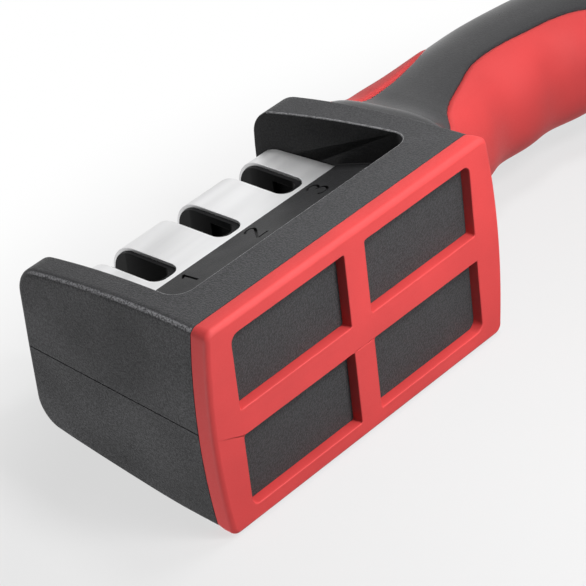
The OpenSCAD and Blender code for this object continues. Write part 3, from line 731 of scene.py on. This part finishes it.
def border_distance(grid, ups, table, below):
    """Distance of each point from a grip's border, negative inside the grip"""
    curve = edge_curve(table)
    tree = kdtree.KDTree(len(curve))
    for i, p in enumerate(curve):
        tree.insert(p, i)
    tree.balance()
    flat = grid.reshape(-1, 3)
    distance = np.array([tree.find(p)[2] for p in flat]).reshape(grid.shape[:2])
    xs = grid[:, 0, 0]
    limit = smooth_at(table, along_share(xs), 1)
    none = -OUT_OF_REACH if below else OUT_OF_REACH
    limit = np.where(xs > HANDLE_X + table[-1, 0] * HANDLE_L, none, limit)
    sunk = half_h(xs) / (half_h(xs) - wave(xs))
    if below:
        inside = ups < np.where(limit < 0, limit * sunk, limit)[:, None]
    else:
        inside = ups > limit[:, None]
    return np.where(inside, -distance, distance)


def red_height(d):
    """How far the rubber stands out, rolling down into the groove at its border"""
    t = np.clip(1 + d / RED_ROLL, 0, None)
    return np.where(d > 0, -GROOVE - 2 * (PROUD + GROOVE) / RED_ROLL * d,
                    PROUD - (PROUD + GROOVE) * t ** 2)


def black_height(d):
    """The same for the black plastic on the other side of the groove"""
    t = np.clip(1 - d / BLACK_ROLL, 0, None)
    return np.where(d < 0, -GROOVE + 2 * GROOVE / BLACK_ROLL * d, -GROOVE * t ** 2)


def sheet_object(name, grid, keep):
    """A sheet of quads over the grid's points, where both rows and columns are kept"""
    rows, columns = grid.shape[:2]
    faces = []
    for i in range(rows - 1):
        for j in range(columns - 1):
            if keep[i:i + 2, j:j + 2].any():
                faces.append((i * columns + j, i * columns + j + 1,
                              (i + 1) * columns + j + 1, (i + 1) * columns + j))
    obj = new_object(name, grid.reshape(-1, 3), faces)
    edit(obj, lambda b: bmesh.ops.delete(
        b, geom=[v for v in b.verts if not v.link_faces], context="VERTS"),
        merge_close(MERGE_SHEET))
    return obj


def face_outwards(obj):
    """Turns every face of a handle sheet away from the handle's middle line"""
    def step(b):
        turned = []
        for face in b.faces:
            middle = face.calc_center_median()
            inner = Vector((middle.x - 1, 0, float(middle_z(min(middle.x, TAIL_END)))))
            if face.normal.dot(middle - inner) < 0:
                turned.append(face)
        bmesh.ops.reverse_faces(b, faces=turned)
    edit(obj, step)


def handle_rows():
    """Places of the cross sections, close together along the grips"""
    fine = np.arange(GRID_START, GRID_END, GRID_MM)
    plain = np.linspace(GRID_END, TAIL_START, PLAIN_STEPS)
    tail = TAIL_START + (TAIL_END - TAIL_START) * np.sin(
        np.linspace(0, math.pi / 2, TAIL_STEPS + 1)[1:])
    return np.concatenate([fine, plain, tail])


def make_handles(black, red):
    """Both handle halves with their inlays, each piece a sheet over the same grid"""
    grid, ups = handle_sheet(handle_rows())
    normal = sheet_normals(grid)
    lower = border_distance(grid, ups, LOWER_EDGE, True)
    thumb = border_distance(grid, ups, THUMB_EDGE, False)
    nearest = np.minimum(lower, thumb)
    black_grid = grid + normal * black_height(np.maximum(nearest, -OVERLAP))[..., None]
    fixed = grid[:, :, 0] > GRID_END
    black_grid[fixed] = grid[fixed]
    black_grid[-1] = [TAIL_END, 0, float(middle_z(TAIL_END))]
    for half, front in HALVES:
        shell = sheet_object("handle", black_grid, nearest > -OVERLAP)
        pieces = [(shell, half + "_shell_handle", black, "black_plastic", half + "_shell")]
        for label, d in (("lower", lower), ("thumb", thumb)):
            red_grid = grid + normal * red_height(np.minimum(d, OVERLAP))[..., None]
            rubber = sheet_object("grip", red_grid, d < OVERLAP)
            pieces.append((rubber, f"{half}_{label}_rubber", red, "red_rubber",
                           f"{half}_{label}_grip"))
        for obj, name, material, slot, node in pieces:
            face_outwards(obj)
            if obj is shell and not front:
                sink_screw_wells(obj)
            if front:
                mirror_y(obj)
            finish_piece(obj, name, material, [node], crisp=False)


def sink_screw_wells(obj):
    """Opens the three wells of the handle screws and lines them"""
    wells = [(HANDLE_X + s * HANDLE_L, float(middle_z(HANDLE_X + s * HANDLE_L)))
             for s in GRIP_SCREW_SHARES]
    r = SCREW_HEAD_R + FIT

    def step(b):
        for x, z in wells:
            near = [v for v in b.verts if math.hypot(v.co.x - x, v.co.z - z) < r
                    and v.co.y > 0]
            bmesh.ops.delete(b, geom=near, context="VERTS")
            rim = [e for e in b.edges if e.is_boundary
                   and math.hypot((e.verts[0].co.x + e.verts[1].co.x) / 2 - x,
                                  (e.verts[0].co.z + e.verts[1].co.z) / 2 - z) < r + WELL_BAND]
            for v in {v for e in rim for v in e.verts}:
                angle = math.atan2(v.co.z - z, v.co.x - x)
                v.co.x = x + r * math.cos(angle)
                v.co.z = z + r * math.sin(angle)
            walls = bmesh.ops.extrude_edge_only(b, edges=rim)["geom"]
            for v in [g for g in walls if isinstance(g, bmesh.types.BMVert)]:
                v.co.y = SCREW_SEAT
    edit(obj, step)


# ---- Saddle and the pieces inside ----

BEND_STEPS, NOTCH_STEPS, COVER_ROUND = 16, 10, 0.12


def saddle_outline(low, inset):
    """The saddle seen along the head, drawn in from the steel's outer face"""
    w, r = SADDLE_W / 2 - inset, SADDLE_R - inset
    return mirrored([(w, low)] + arc(w - r, SADDLE_H - SADDLE_R, r, 0, 90, BEND_STEPS))


def cheek_gap(low, high):
    """The room between the cheeks, seen from the side"""
    return mirrored([(inner_x(low) - FIT, low), (inner_x(high) - FIT, high)])


def make_cover(steel):
    """The bent steel sheet with its three notches"""
    cover = prism(cheek_gap(LEDGE_H, SADDLE_H), "y", -SADDLE_W, SADDLE_W)
    rim = saddle_outline(LEDGE_H, 0)
    carve(cover, prism(rim, "x", -HEAD_L / 2, HEAD_L / 2), "INTERSECT")
    carve(cover, prism(saddle_outline(LEDGE_H - OVER, COVER_T), "x", -HEAD_L, HEAD_L))
    half = SLOT_W / 2
    corner = arc(half - SLOT_R, SLOT_FLOOR + SLOT_R, SLOT_R, -90, 0, NOTCH_STEPS)
    for x in SLOT_XS:
        notch = [(x + px, z) for px, z in mirrored(corner + [(half, SADDLE_H + OVER)])]
        carve(cover, prism(notch, "y", -SADDLE_W, SADDLE_W))
    edit(cover, merge_close(MERGE_SHARP), flatten_planes(FLAT_ANGLE))
    edit(cover, bevel_edges(every_edge, COVER_ROUND))
    finish_piece(cover, "saddle_steel", steel, ["saddle_cover"])


def rounded_copy(node, name, material, body, width):
    """The solid of a node with its edges softened"""
    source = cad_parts[node]
    obj = add_object(name, source.data.copy())
    obj.data.transform(source.matrix_world)
    obj.data.transform(Matrix.Scale(1 / MM, 4))
    for layer in [a.name for a in obj.data.attributes if a.name == "custom_normal"]:
        obj.data.attributes.remove(obj.data.attributes[layer])
    edit(obj, merge_close(MERGE_COPY), flatten_planes(COPY_FLAT_ANGLE))
    edit(obj, bevel_edges(every_edge, width))
    finish_piece(obj, name, material, [node], body)


# Node, name of its piece, material and slot, body, and width of its softened edges
SMALL_PIECES = [
    ("stage_carrier", "carrier_block", "carrier_plastic", HOUSING, 0.22),
    ("carrier_plate", "carrier_lid", "carrier_plastic", HOUSING, 0.15),
    ("plate_screws", "lid_screws", "fastener_steel", HOUSING, 0.08),
    ("carbide_blade_front", "front_blade", "carbide", HOUSING, 0.05),
    ("carbide_blade_rear", "rear_blade", "carbide", HOUSING, 0.05),
    ("blade_screw", "blade_bolt", "fastener_steel", HOUSING, 0.08),
    ("coarse_axle", "coarse_pin", "axle_steel", HOUSING, 0.15),
    ("fine_axle", "fine_pin", "axle_steel", HOUSING, 0.15),
    ("coarse_wheel_near", "coarse_disc_near", "diamond_coat", "coarse_wheel_near_body", 0.12),
    ("coarse_wheel_far", "coarse_disc_far", "diamond_coat", "coarse_wheel_far_body", 0.12),
    ("fine_wheel_near", "fine_disc_near", "ceramic", "fine_wheel_near_body", 0.12),
    ("fine_wheel_far", "fine_disc_far", "ceramic", "fine_wheel_far_body", 0.12),
    ("thrust_washers", "spacer_washers", "washer_steel", HOUSING, 0.06),
    ("shell_screws", "seam_screws", "fastener_steel", HOUSING, 0.12),
]


def make_small_pieces(materials):
    for node, name, slot, body, width in SMALL_PIECES:
        rounded_copy(node, name, materials[slot], body, width)


# ---- Materials ----

FINE_GRAIN, WAVES = 2600, 90
DULL_AT, BRIGHT_AT = 0.40, 0.62
NOISE_LOW, NOISE_HIGH = 0.3, 0.7


def tint(colour, factor):
    return tuple(c * factor for c in colour)


def add_node(tree, kind, inputs=None, **settings):
    """A new shader node, each input set to a value or linked to another node's output"""
    node = tree.nodes.new("ShaderNode" + kind)
    for name, setting in settings.items():
        setattr(node, name, setting)
    for socket, value in (inputs or {}).items():
        if isinstance(value, bpy.types.NodeSocket):
            tree.links.new(value, node.inputs[socket])
        else:
            node.inputs[socket].default_value = value
    return node


class Paint:
    """A material whose detail is built from noise in the part's own frame"""

    def __init__(self, name, colour, roughness, metallic=0.0, specular=0.5):
        self.material = bpy.data.materials.new(name)
        self.material.use_nodes = True
        self.tree = self.material.node_tree
        self.shader = self.tree.nodes["Principled BSDF"]
        self.colour = colour
        for socket, value in (("Base Color", (*colour, 1)), ("Roughness", roughness),
                              ("Metallic", metallic), ("Specular IOR Level", specular)):
            self.shader.inputs[socket].default_value = value
        coordinates = self.add("TexCoord")
        self.place = coordinates.outputs["Object"]
        self.facing = coordinates.outputs["Normal"]

    def add(self, kind, inputs=None, **settings):
        return add_node(self.tree, kind, inputs, **settings)

    def give(self, socket, output):
        self.tree.links.new(output, self.shader.inputs[socket])

    def noise(self, scale, detail=2.0, stretch=None, rough=0.5):
        """Noise with so many cells per metre, drawn out by stretch"""
        place = self.place
        if stretch:
            place = self.add("Mapping", {"Vector": place, "Scale": stretch}).outputs["Vector"]
        return self.add("TexNoise", {"Vector": place, "Scale": scale, "Detail": detail,
                                     "Roughness": rough}).outputs["Fac"]

    def cells(self, scale):
        return self.add("TexVoronoi", {"Vector": self.place, "Scale": scale}).outputs["Distance"]

    def spread(self, value, low, high, to_low, to_high):
        return self.add("MapRange", {"Value": value, "From Min": low, "From Max": high,
                                     "To Min": to_low, "To Max": to_high}).outputs["Result"]

    def ramp(self, value, *stops):
        """Colours along a value; a number stands for that share of the paint's own colour"""
        node = self.add("ValToRGB", {"Fac": value})
        ramp = node.color_ramp
        while len(ramp.elements) < len(stops):
            ramp.elements.new(0.5)
        for element, (at, colour) in zip(ramp.elements, stops):
            own = isinstance(colour, (int, float))
            element.position = at
            element.color = (*(tint(self.colour, colour) if own else colour), 1)
        return node.outputs["Color"]

    def colours(self, value, *stops):
        self.give("Base Color", self.ramp(value, *stops))

    def times(self, first, second, absolute=False):
        """The product of two values, without its sign if absolute"""
        product = self.add("Math", {0: first, 1: second}, operation="MULTIPLY").outputs["Value"]
        if absolute:
            product = self.add("Math", {0: product}, operation="ABSOLUTE").outputs["Value"]
        return product

    def parts(self, vector):
        return tuple(self.add("SeparateXYZ", {"Vector": vector}).outputs)

    def lay_over(self, share, colour):
        """Lays another colour over the base colour by share"""
        mix = self.add("Mix", data_type="RGBA")
        sockets = {socket.identifier: socket for socket in (*mix.inputs, *mix.outputs)}
        under = self.shader.inputs["Base Color"].links[0].from_socket
        for name, output in (("Factor_Float", share), ("A_Color", under), ("B_Color", colour)):
            self.tree.links.new(output, sockets[name])
        self.give("Base Color", sockets["Result_Color"])

    def rough(self, value, low, high):
        self.give("Roughness", self.spread(value, NOISE_LOW, NOISE_HIGH, low, high))
        return self

    def bump(self, value, strength, depth):
        """Adds one more layer of relief, depth in metres"""
        node = self.add("Bump", {"Height": value, "Strength": strength, "Distance": depth})
        under = self.shader.inputs["Normal"]
        if under.is_linked:
            self.tree.links.new(under.links[0].from_socket, node.inputs["Normal"])
        self.give("Normal", node.outputs["Normal"])
        return self


# Where the end faces, lighter with painted light, start and are full, by X times the normal's X,
# and likewise the edge between an end face and a side, which gets a painted highlight, by the
# normal's X times its Y
END_FROM, END_FULL = 0.028, 0.036
HIGHLIGHT_EDGE_FROM, HIGHLIGHT_EDGE_FULL = 0.40, 0.48
# Size and strength of the random patches of painted shade on the end faces
END_SHADE_PATCH_SCALE, END_SHADE_PATCH_SHARE = 38, 0.7


def black_plastic():
    """Fine grain on the sides; coarser on the end faces, lighter there as painted light and with
    random patches of painted shade; a speckled painted highlight where end and side meet
    """
    paint = Paint("satin_black_plastic", (0.050, 0.050, 0.052), 0.5, specular=0.09)
    broad = paint.noise(WAVES, 3)
    fine = paint.noise(FINE_GRAIN, 2, rough=0.7)
    coarse = paint.noise(2400, 2, rough=0.8)
    paint.colours(fine, (DULL_AT, 0.75), (BRIGHT_AT, 1.3))
    x, y, _ = paint.parts(paint.facing)
    outward = paint.times(x, paint.parts(paint.place)[0])
    end_grain_with_painted_light = paint.spread(outward, END_FROM, END_FULL, 0, 1)
    # On the end faces a coarser grain, lighter in tone as painted light
    paint.lay_over(end_grain_with_painted_light, paint.ramp(coarse, (DULL_AT, 0.85), (BRIGHT_AT, 2)))
    # Random broad patches darken the end faces as painted shade
    painted_shade_patches = paint.spread(paint.noise(END_SHADE_PATCH_SCALE, 1), 0.40, 0.60, 0, END_SHADE_PATCH_SHARE)
    paint.lay_over(paint.times(end_grain_with_painted_light, painted_shade_patches),
                   paint.ramp(coarse, (DULL_AT, 0.4), (BRIGHT_AT, 1.1)))
    # A speckled painted highlight on the rounding where an end face meets a side
    painted_edge_highlight = paint.spread(paint.times(x, y, absolute=True), HIGHLIGHT_EDGE_FROM, HIGHLIGHT_EDGE_FULL, 0, 1)
    paint.lay_over(painted_edge_highlight, paint.ramp(coarse, (DULL_AT, 1.5), (0.56, 6)))
    paint.rough(broad, 0.42, 0.54)
    return paint.bump(fine, 0.9, 0.0002).bump(broad, 0.05, 0.0004).material


def rim_highlight_black():
    """The lighter edge round the channel: a painted highlight"""
    paint = Paint("painted_highlight_rim_plastic", (0.17, 0.17, 0.175), 0.4, specular=0.3)
    grain = paint.noise(1500, 3, rough=0.7)
    paint.colours(grain, (0.36, 0.5), (BRIGHT_AT, 1.5))
    return paint.rough(grain, 0.34, 0.46).bump(grain, 0.3, 0.0001).material


def channel_painted_shade_black():
    # Half as light as the outside's plastic: painted shade between the cheeks; the weaker grain is
    # the plastic's own
    paint = Paint("smooth_plastic_painted_shade", (0.024, 0.024, 0.025), 0.42, specular=0.1)
    fine = paint.noise(FINE_GRAIN, 2, rough=0.7)
    paint.colours(fine, (DULL_AT, 0.8), (BRIGHT_AT, 1.25))
    paint.rough(paint.noise(WAVES, 3), 0.38, 0.5)
    return paint.bump(fine, 0.4, 0.0001).material


def handle_painted_shade_black():
    # Darker than the head's plastic of the same shell: painted shade on the handle; the gloss is
    # the plastic's own
    paint = Paint("polished_plastic_painted_shade", (0.024, 0.024, 0.0255), 0.3, specular=0.28)
    broad = paint.noise(WAVES, 3)
    fine = paint.noise(FINE_GRAIN, 2, rough=0.7)
    paint.colours(fine, (DULL_AT, 0.8), (BRIGHT_AT, 1.25))
    paint.rough(broad, 0.27, 0.36)
    return paint.bump(fine, 0.4, 0.0001).bump(broad, 0.05, 0.0004).material


def carrier_painted_shade_black():
    # Nearly black: painted shade for the insides of the notches
    paint = Paint("near_black_painted_shade", (0.004, 0.004, 0.0045), 0.42, specular=0.09)
    grain = paint.noise(4200, 2)
    paint.colours(paint.noise(150, 2), (0.3, 0.8), (0.7, 1.2))
    return paint.rough(grain, 0.36, 0.48).bump(grain, 0.12, 0.00003).material


def red_rubber(name, depth=1.0):
    """Matt red rubber, darker by the share given; for the grips this darkening is painted shade"""
    paint = Paint(name, tint((0.60, 0.048, 0.048), depth), 0.6, specular=0.32)
    broad = paint.noise(70, 3)
    fine = paint.noise(FINE_GRAIN, 3, rough=0.6)
    paint.colours(broad, (0.28, 0.93), (0.72, 1.06))
    paint.rough(fine, 0.52, 0.68)
    return paint.bump(fine, 0.16, 0.00005).bump(broad, 0.06, 0.0005).material


def brushed_steel():
    """Brushed along the head, with broad soft patches of painted reflection tone"""
    paint = Paint("brushed_stainless", (0.83, 0.83, 0.835), 0.3, metallic=0.75)
    streaks = paint.noise(1.0, 3, stretch=(60, 4200, 4200), rough=0.5)
    broad = paint.noise(1.0, 2, stretch=(18, 110, 110))
    # The broad patches across the bend are a painted reflection gradient, laid out at random
    paint.colours(broad, (0.34, 0.78), (0.62, 1.02))
    paint.rough(streaks, 0.34, 0.48)
    paint.shader.inputs["Anisotropic"].default_value = 0.4
    return paint.bump(streaks, 0.05, 0.00002).material


def plain_metal(name, colour, rough, grain_scale=2500, relief=0.00003):
    """Turned or ground metal with fine grain and faint stains"""
    paint = Paint(name, colour, rough, metallic=1.0)
    grain = paint.noise(grain_scale, 3)
    paint.colours(paint.noise(260, 2), (0.3, 0.85), (0.7, 1.08))
    return paint.rough(grain, rough * 0.8, rough * 1.25).bump(grain, 0.15, relief).material


def diamond_coat():
    paint = Paint("diamond_grit", (0.22, 0.225, 0.235), 0.55, metallic=0.6)
    grit = paint.cells(6500)
    paint.colours(grit, (0.1, 0.55), (0.5, 1.1), (0.85, (0.62, 0.63, 0.66)))
    paint.rough(paint.noise(5000, 2), 0.35, 0.75)
    return paint.bump(grit, 0.6, 0.00008).material


def fired_ceramic():
    paint = Paint("fired_ceramic", (0.80, 0.79, 0.74), 0.62, specular=0.4)
    fine = paint.noise(4200, 4, rough=0.7)
    paint.colours(paint.noise(320, 4), (0.3, (0.73, 0.72, 0.67)), (0.7, (0.84, 0.83, 0.79)))
    return paint.rough(fine, 0.5, 0.75).bump(fine, 0.3, 0.00005).material


def make_materials():
    """Every material of the part by its short name"""
    return {
        "black_plastic": black_plastic(), "handle_painted_shade_plastic": handle_painted_shade_black(),
        "rim_highlight_plastic": rim_highlight_black(), "channel_painted_shade_plastic": channel_painted_shade_black(),
        # The grips' rubber is the frame's rubber darkened as painted shade
        "carrier_plastic": carrier_painted_shade_black(), "grip_rubber_painted_shade": red_rubber("grip_rubber_painted_shade", 0.84),
        "red_rubber": red_rubber("soft_red_rubber"), "stainless": brushed_steel(),
        "fastener_steel": plain_metal("screw_steel", (0.56, 0.56, 0.58), 0.34),
        "axle_steel": plain_metal("ground_pin_steel", (0.70, 0.70, 0.72), 0.2, 4000, 0.00002),
        "washer_steel": plain_metal("washer_steel", (0.66, 0.66, 0.67), 0.3),
        "carbide": plain_metal("ground_carbide", (0.34, 0.35, 0.37), 0.3, 3200),
        "diamond_coat": diamond_coat(), "ceramic": fired_ceramic(),
    }


# ---- Camera, stage and light ----

def make_camera():
    camera = add_object("camera", bpy.data.cameras.new("camera"))
    camera.data.sensor_width = SENSOR_MM
    camera.data.lens = FOCAL_PIXELS * SENSOR_MM / FRAME_PIXELS
    x_axis = Vector(VIEW_X).normalized()
    z_axis = -Vector(VIEW_AWAY)
    z_axis = (z_axis - z_axis.dot(x_axis) * x_axis).normalized()
    y_axis = z_axis.cross(x_axis)
    turn = Matrix((x_axis, y_axis, z_axis)).transposed().to_4x4()
    camera.matrix_world = Matrix.Translation(Vector(CAMERA_AT) * MM) @ turn
    camera.data.clip_start, camera.data.clip_end = CLIP_START, CLIP_END
    bpy.context.scene.camera = camera


# The part lies on its long side as in the photograph, on a floor that is seen from the front alone.
# Views from above show the floor that it would stand on instead.
LIE_TILT = math.radians(6.4)
LIE_NORMAL = (0, -math.cos(LIE_TILT), -math.sin(LIE_TILT))
FLOOR_SIZE, FLOOR_GLOW, PAPER = 1.6, 0.66, (0.42, 0.42, 0.422, 1)
WHITE = (1, 1, 1, 1)
# Name, a point in millimetres, normal, middle of the clear area in millimetres, and the distances
# from it in metres at which the floor starts to fade and is gone
FLOORS = [
    ("lying_floor", (30, HEAD_W / 2 + FRAME_FLARE + 0.15, FRAME_ROUND), LIE_NORMAL,
     (20, 25, -150), 0.2, 0.27),
    ("standing_floor", (40, 0, -0.05), (0, 0, 1), (40, 0, 0), 0.16, 0.42),
]
# Name, direction, distance and size in metres, and power in watts
LAMPS = [
    ("key", (0.24, -1.0, -0.8), 0.27, 0.06, 0.44),
    ("side", (0.3, -1.0, -0.2), 0.28, 0.06, 0.39),
    ("base", (0.17, -0.35, -1.0), 0.22, 0.10, 0.29),
    ("left", (-1.0, 0.35, 0.1), 0.3, 0.12, 0.4),
    ("back", (0.5, 1.0, 0.9), 0.5, 0.25, 2.0),
]
LAMP_AIM = Vector((0, 0, 0.03))
WORLD_LEAST, WORLD_MOST = 0.08, 0.14


def empty_tree(owner):
    """Empties an owner's shader nodes and returns the call that adds new ones"""
    owner.use_nodes = True
    owner.node_tree.nodes.clear()
    return partial(add_node, owner.node_tree)


def floor_material(name, around, clear, full):
    """A pale floor that is seen from its own side alone and fades out into the background"""
    material = bpy.data.materials.new(name)
    add = empty_tree(material)
    place = add("NewGeometry").outputs
    distance = add("VectorMath", {0: place["Position"], 1: around}, operation="DISTANCE")
    reach = add("MapRange", {"Value": distance.outputs["Value"], "From Min": clear,
                             "From Max": full, "To Min": FLOOR_GLOW},
                interpolation_type="SMOOTHSTEP")
    fade = add("MixShader", {"Fac": reach.outputs["Result"],
                             1: add("BsdfDiffuse", {"Color": PAPER}).outputs["BSDF"],
                             2: add("Emission", {"Color": WHITE}).outputs["Emission"]})
    side = add("MixShader", {"Fac": place["Backfacing"], 1: fade.outputs["Shader"],
                             2: add("BsdfTransparent").outputs["BSDF"]})
    add("OutputMaterial", {"Surface": side.outputs["Shader"]})
    return material


def make_floor(name, at, normal, around, clear, full):
    half = FLOOR_SIZE / 2
    mesh = bpy.data.meshes.new(name)
    mesh.from_pydata([(-half, -half, 0), (half, -half, 0), (half, half, 0), (-half, half, 0)],
                     [], [(0, 1, 2, 3)])
    floor = add_object(name, mesh)
    turn = Vector(normal).to_track_quat("Z", "Y").to_matrix().to_4x4()
    floor.matrix_world = Matrix.Translation(Vector(at) * MM) @ turn
    mesh.materials.append(floor_material(name, Vector(around) * MM, clear, full))
    floor.visible_diffuse = False
    floor.visible_transmission = False
    floor.visible_shadow = False


def make_lamp(name, towards, distance, size, power):
    lamp = add_object(name, bpy.data.lights.new(name, "AREA"))
    lamp.data.shape = "SQUARE"
    lamp.data.size = size
    lamp.data.energy = power
    direction = Vector(towards).normalized()
    lamp.location = LAMP_AIM + direction * distance
    lamp.rotation_euler = direction.to_track_quat("Z", "Y").to_euler()
    lamp.visible_camera = False


def make_world():
    """Soft light, stronger from the side that faces the camera, and seen as plain white"""
    world = bpy.data.worlds.new("studio")
    bpy.context.scene.world = world
    add = empty_tree(world)
    facing = add("VectorMath", {0: add("TexCoord").outputs["Generated"], 1: LIE_NORMAL},
                 operation="DOT_PRODUCT")
    level = add("MapRange", {"Value": facing.outputs["Value"], "From Min": -1, "From Max": 1,
                             "To Min": WORLD_LEAST, "To Max": WORLD_MOST})
    light = add("Background", {"Color": WHITE, "Strength": level.outputs["Result"]})
    rays = add("LightPath").outputs
    shown = rays["Is Camera Ray"]
    for name in ("Is Glossy Ray", "Is Transmission Ray"):
        shown = add("Math", {0: shown, 1: rays[name]}, operation="MAXIMUM").outputs["Value"]
    pick = add("MixShader", {"Fac": shown, 1: light.outputs["Background"],
                             2: add("Background", {"Color": WHITE}).outputs["Background"]})
    add("OutputWorld", {"Surface": pick.outputs["Shader"]})


make_camera()
materials = make_materials()
make_heads(materials["black_plastic"], materials["rim_highlight_plastic"],
           materials["channel_painted_shade_plastic"])
make_frames(materials["red_rubber"])
make_handles(materials["handle_painted_shade_plastic"], materials["grip_rubber_painted_shade"])
make_cover(materials["stainless"])
make_small_pieces(materials)
for floor_row in FLOORS:
    make_floor(*floor_row)
make_world()
for lamp_row in LAMPS:
    make_lamp(*lamp_row)
bpy.context.scene.view_settings.view_transform = "Standard"
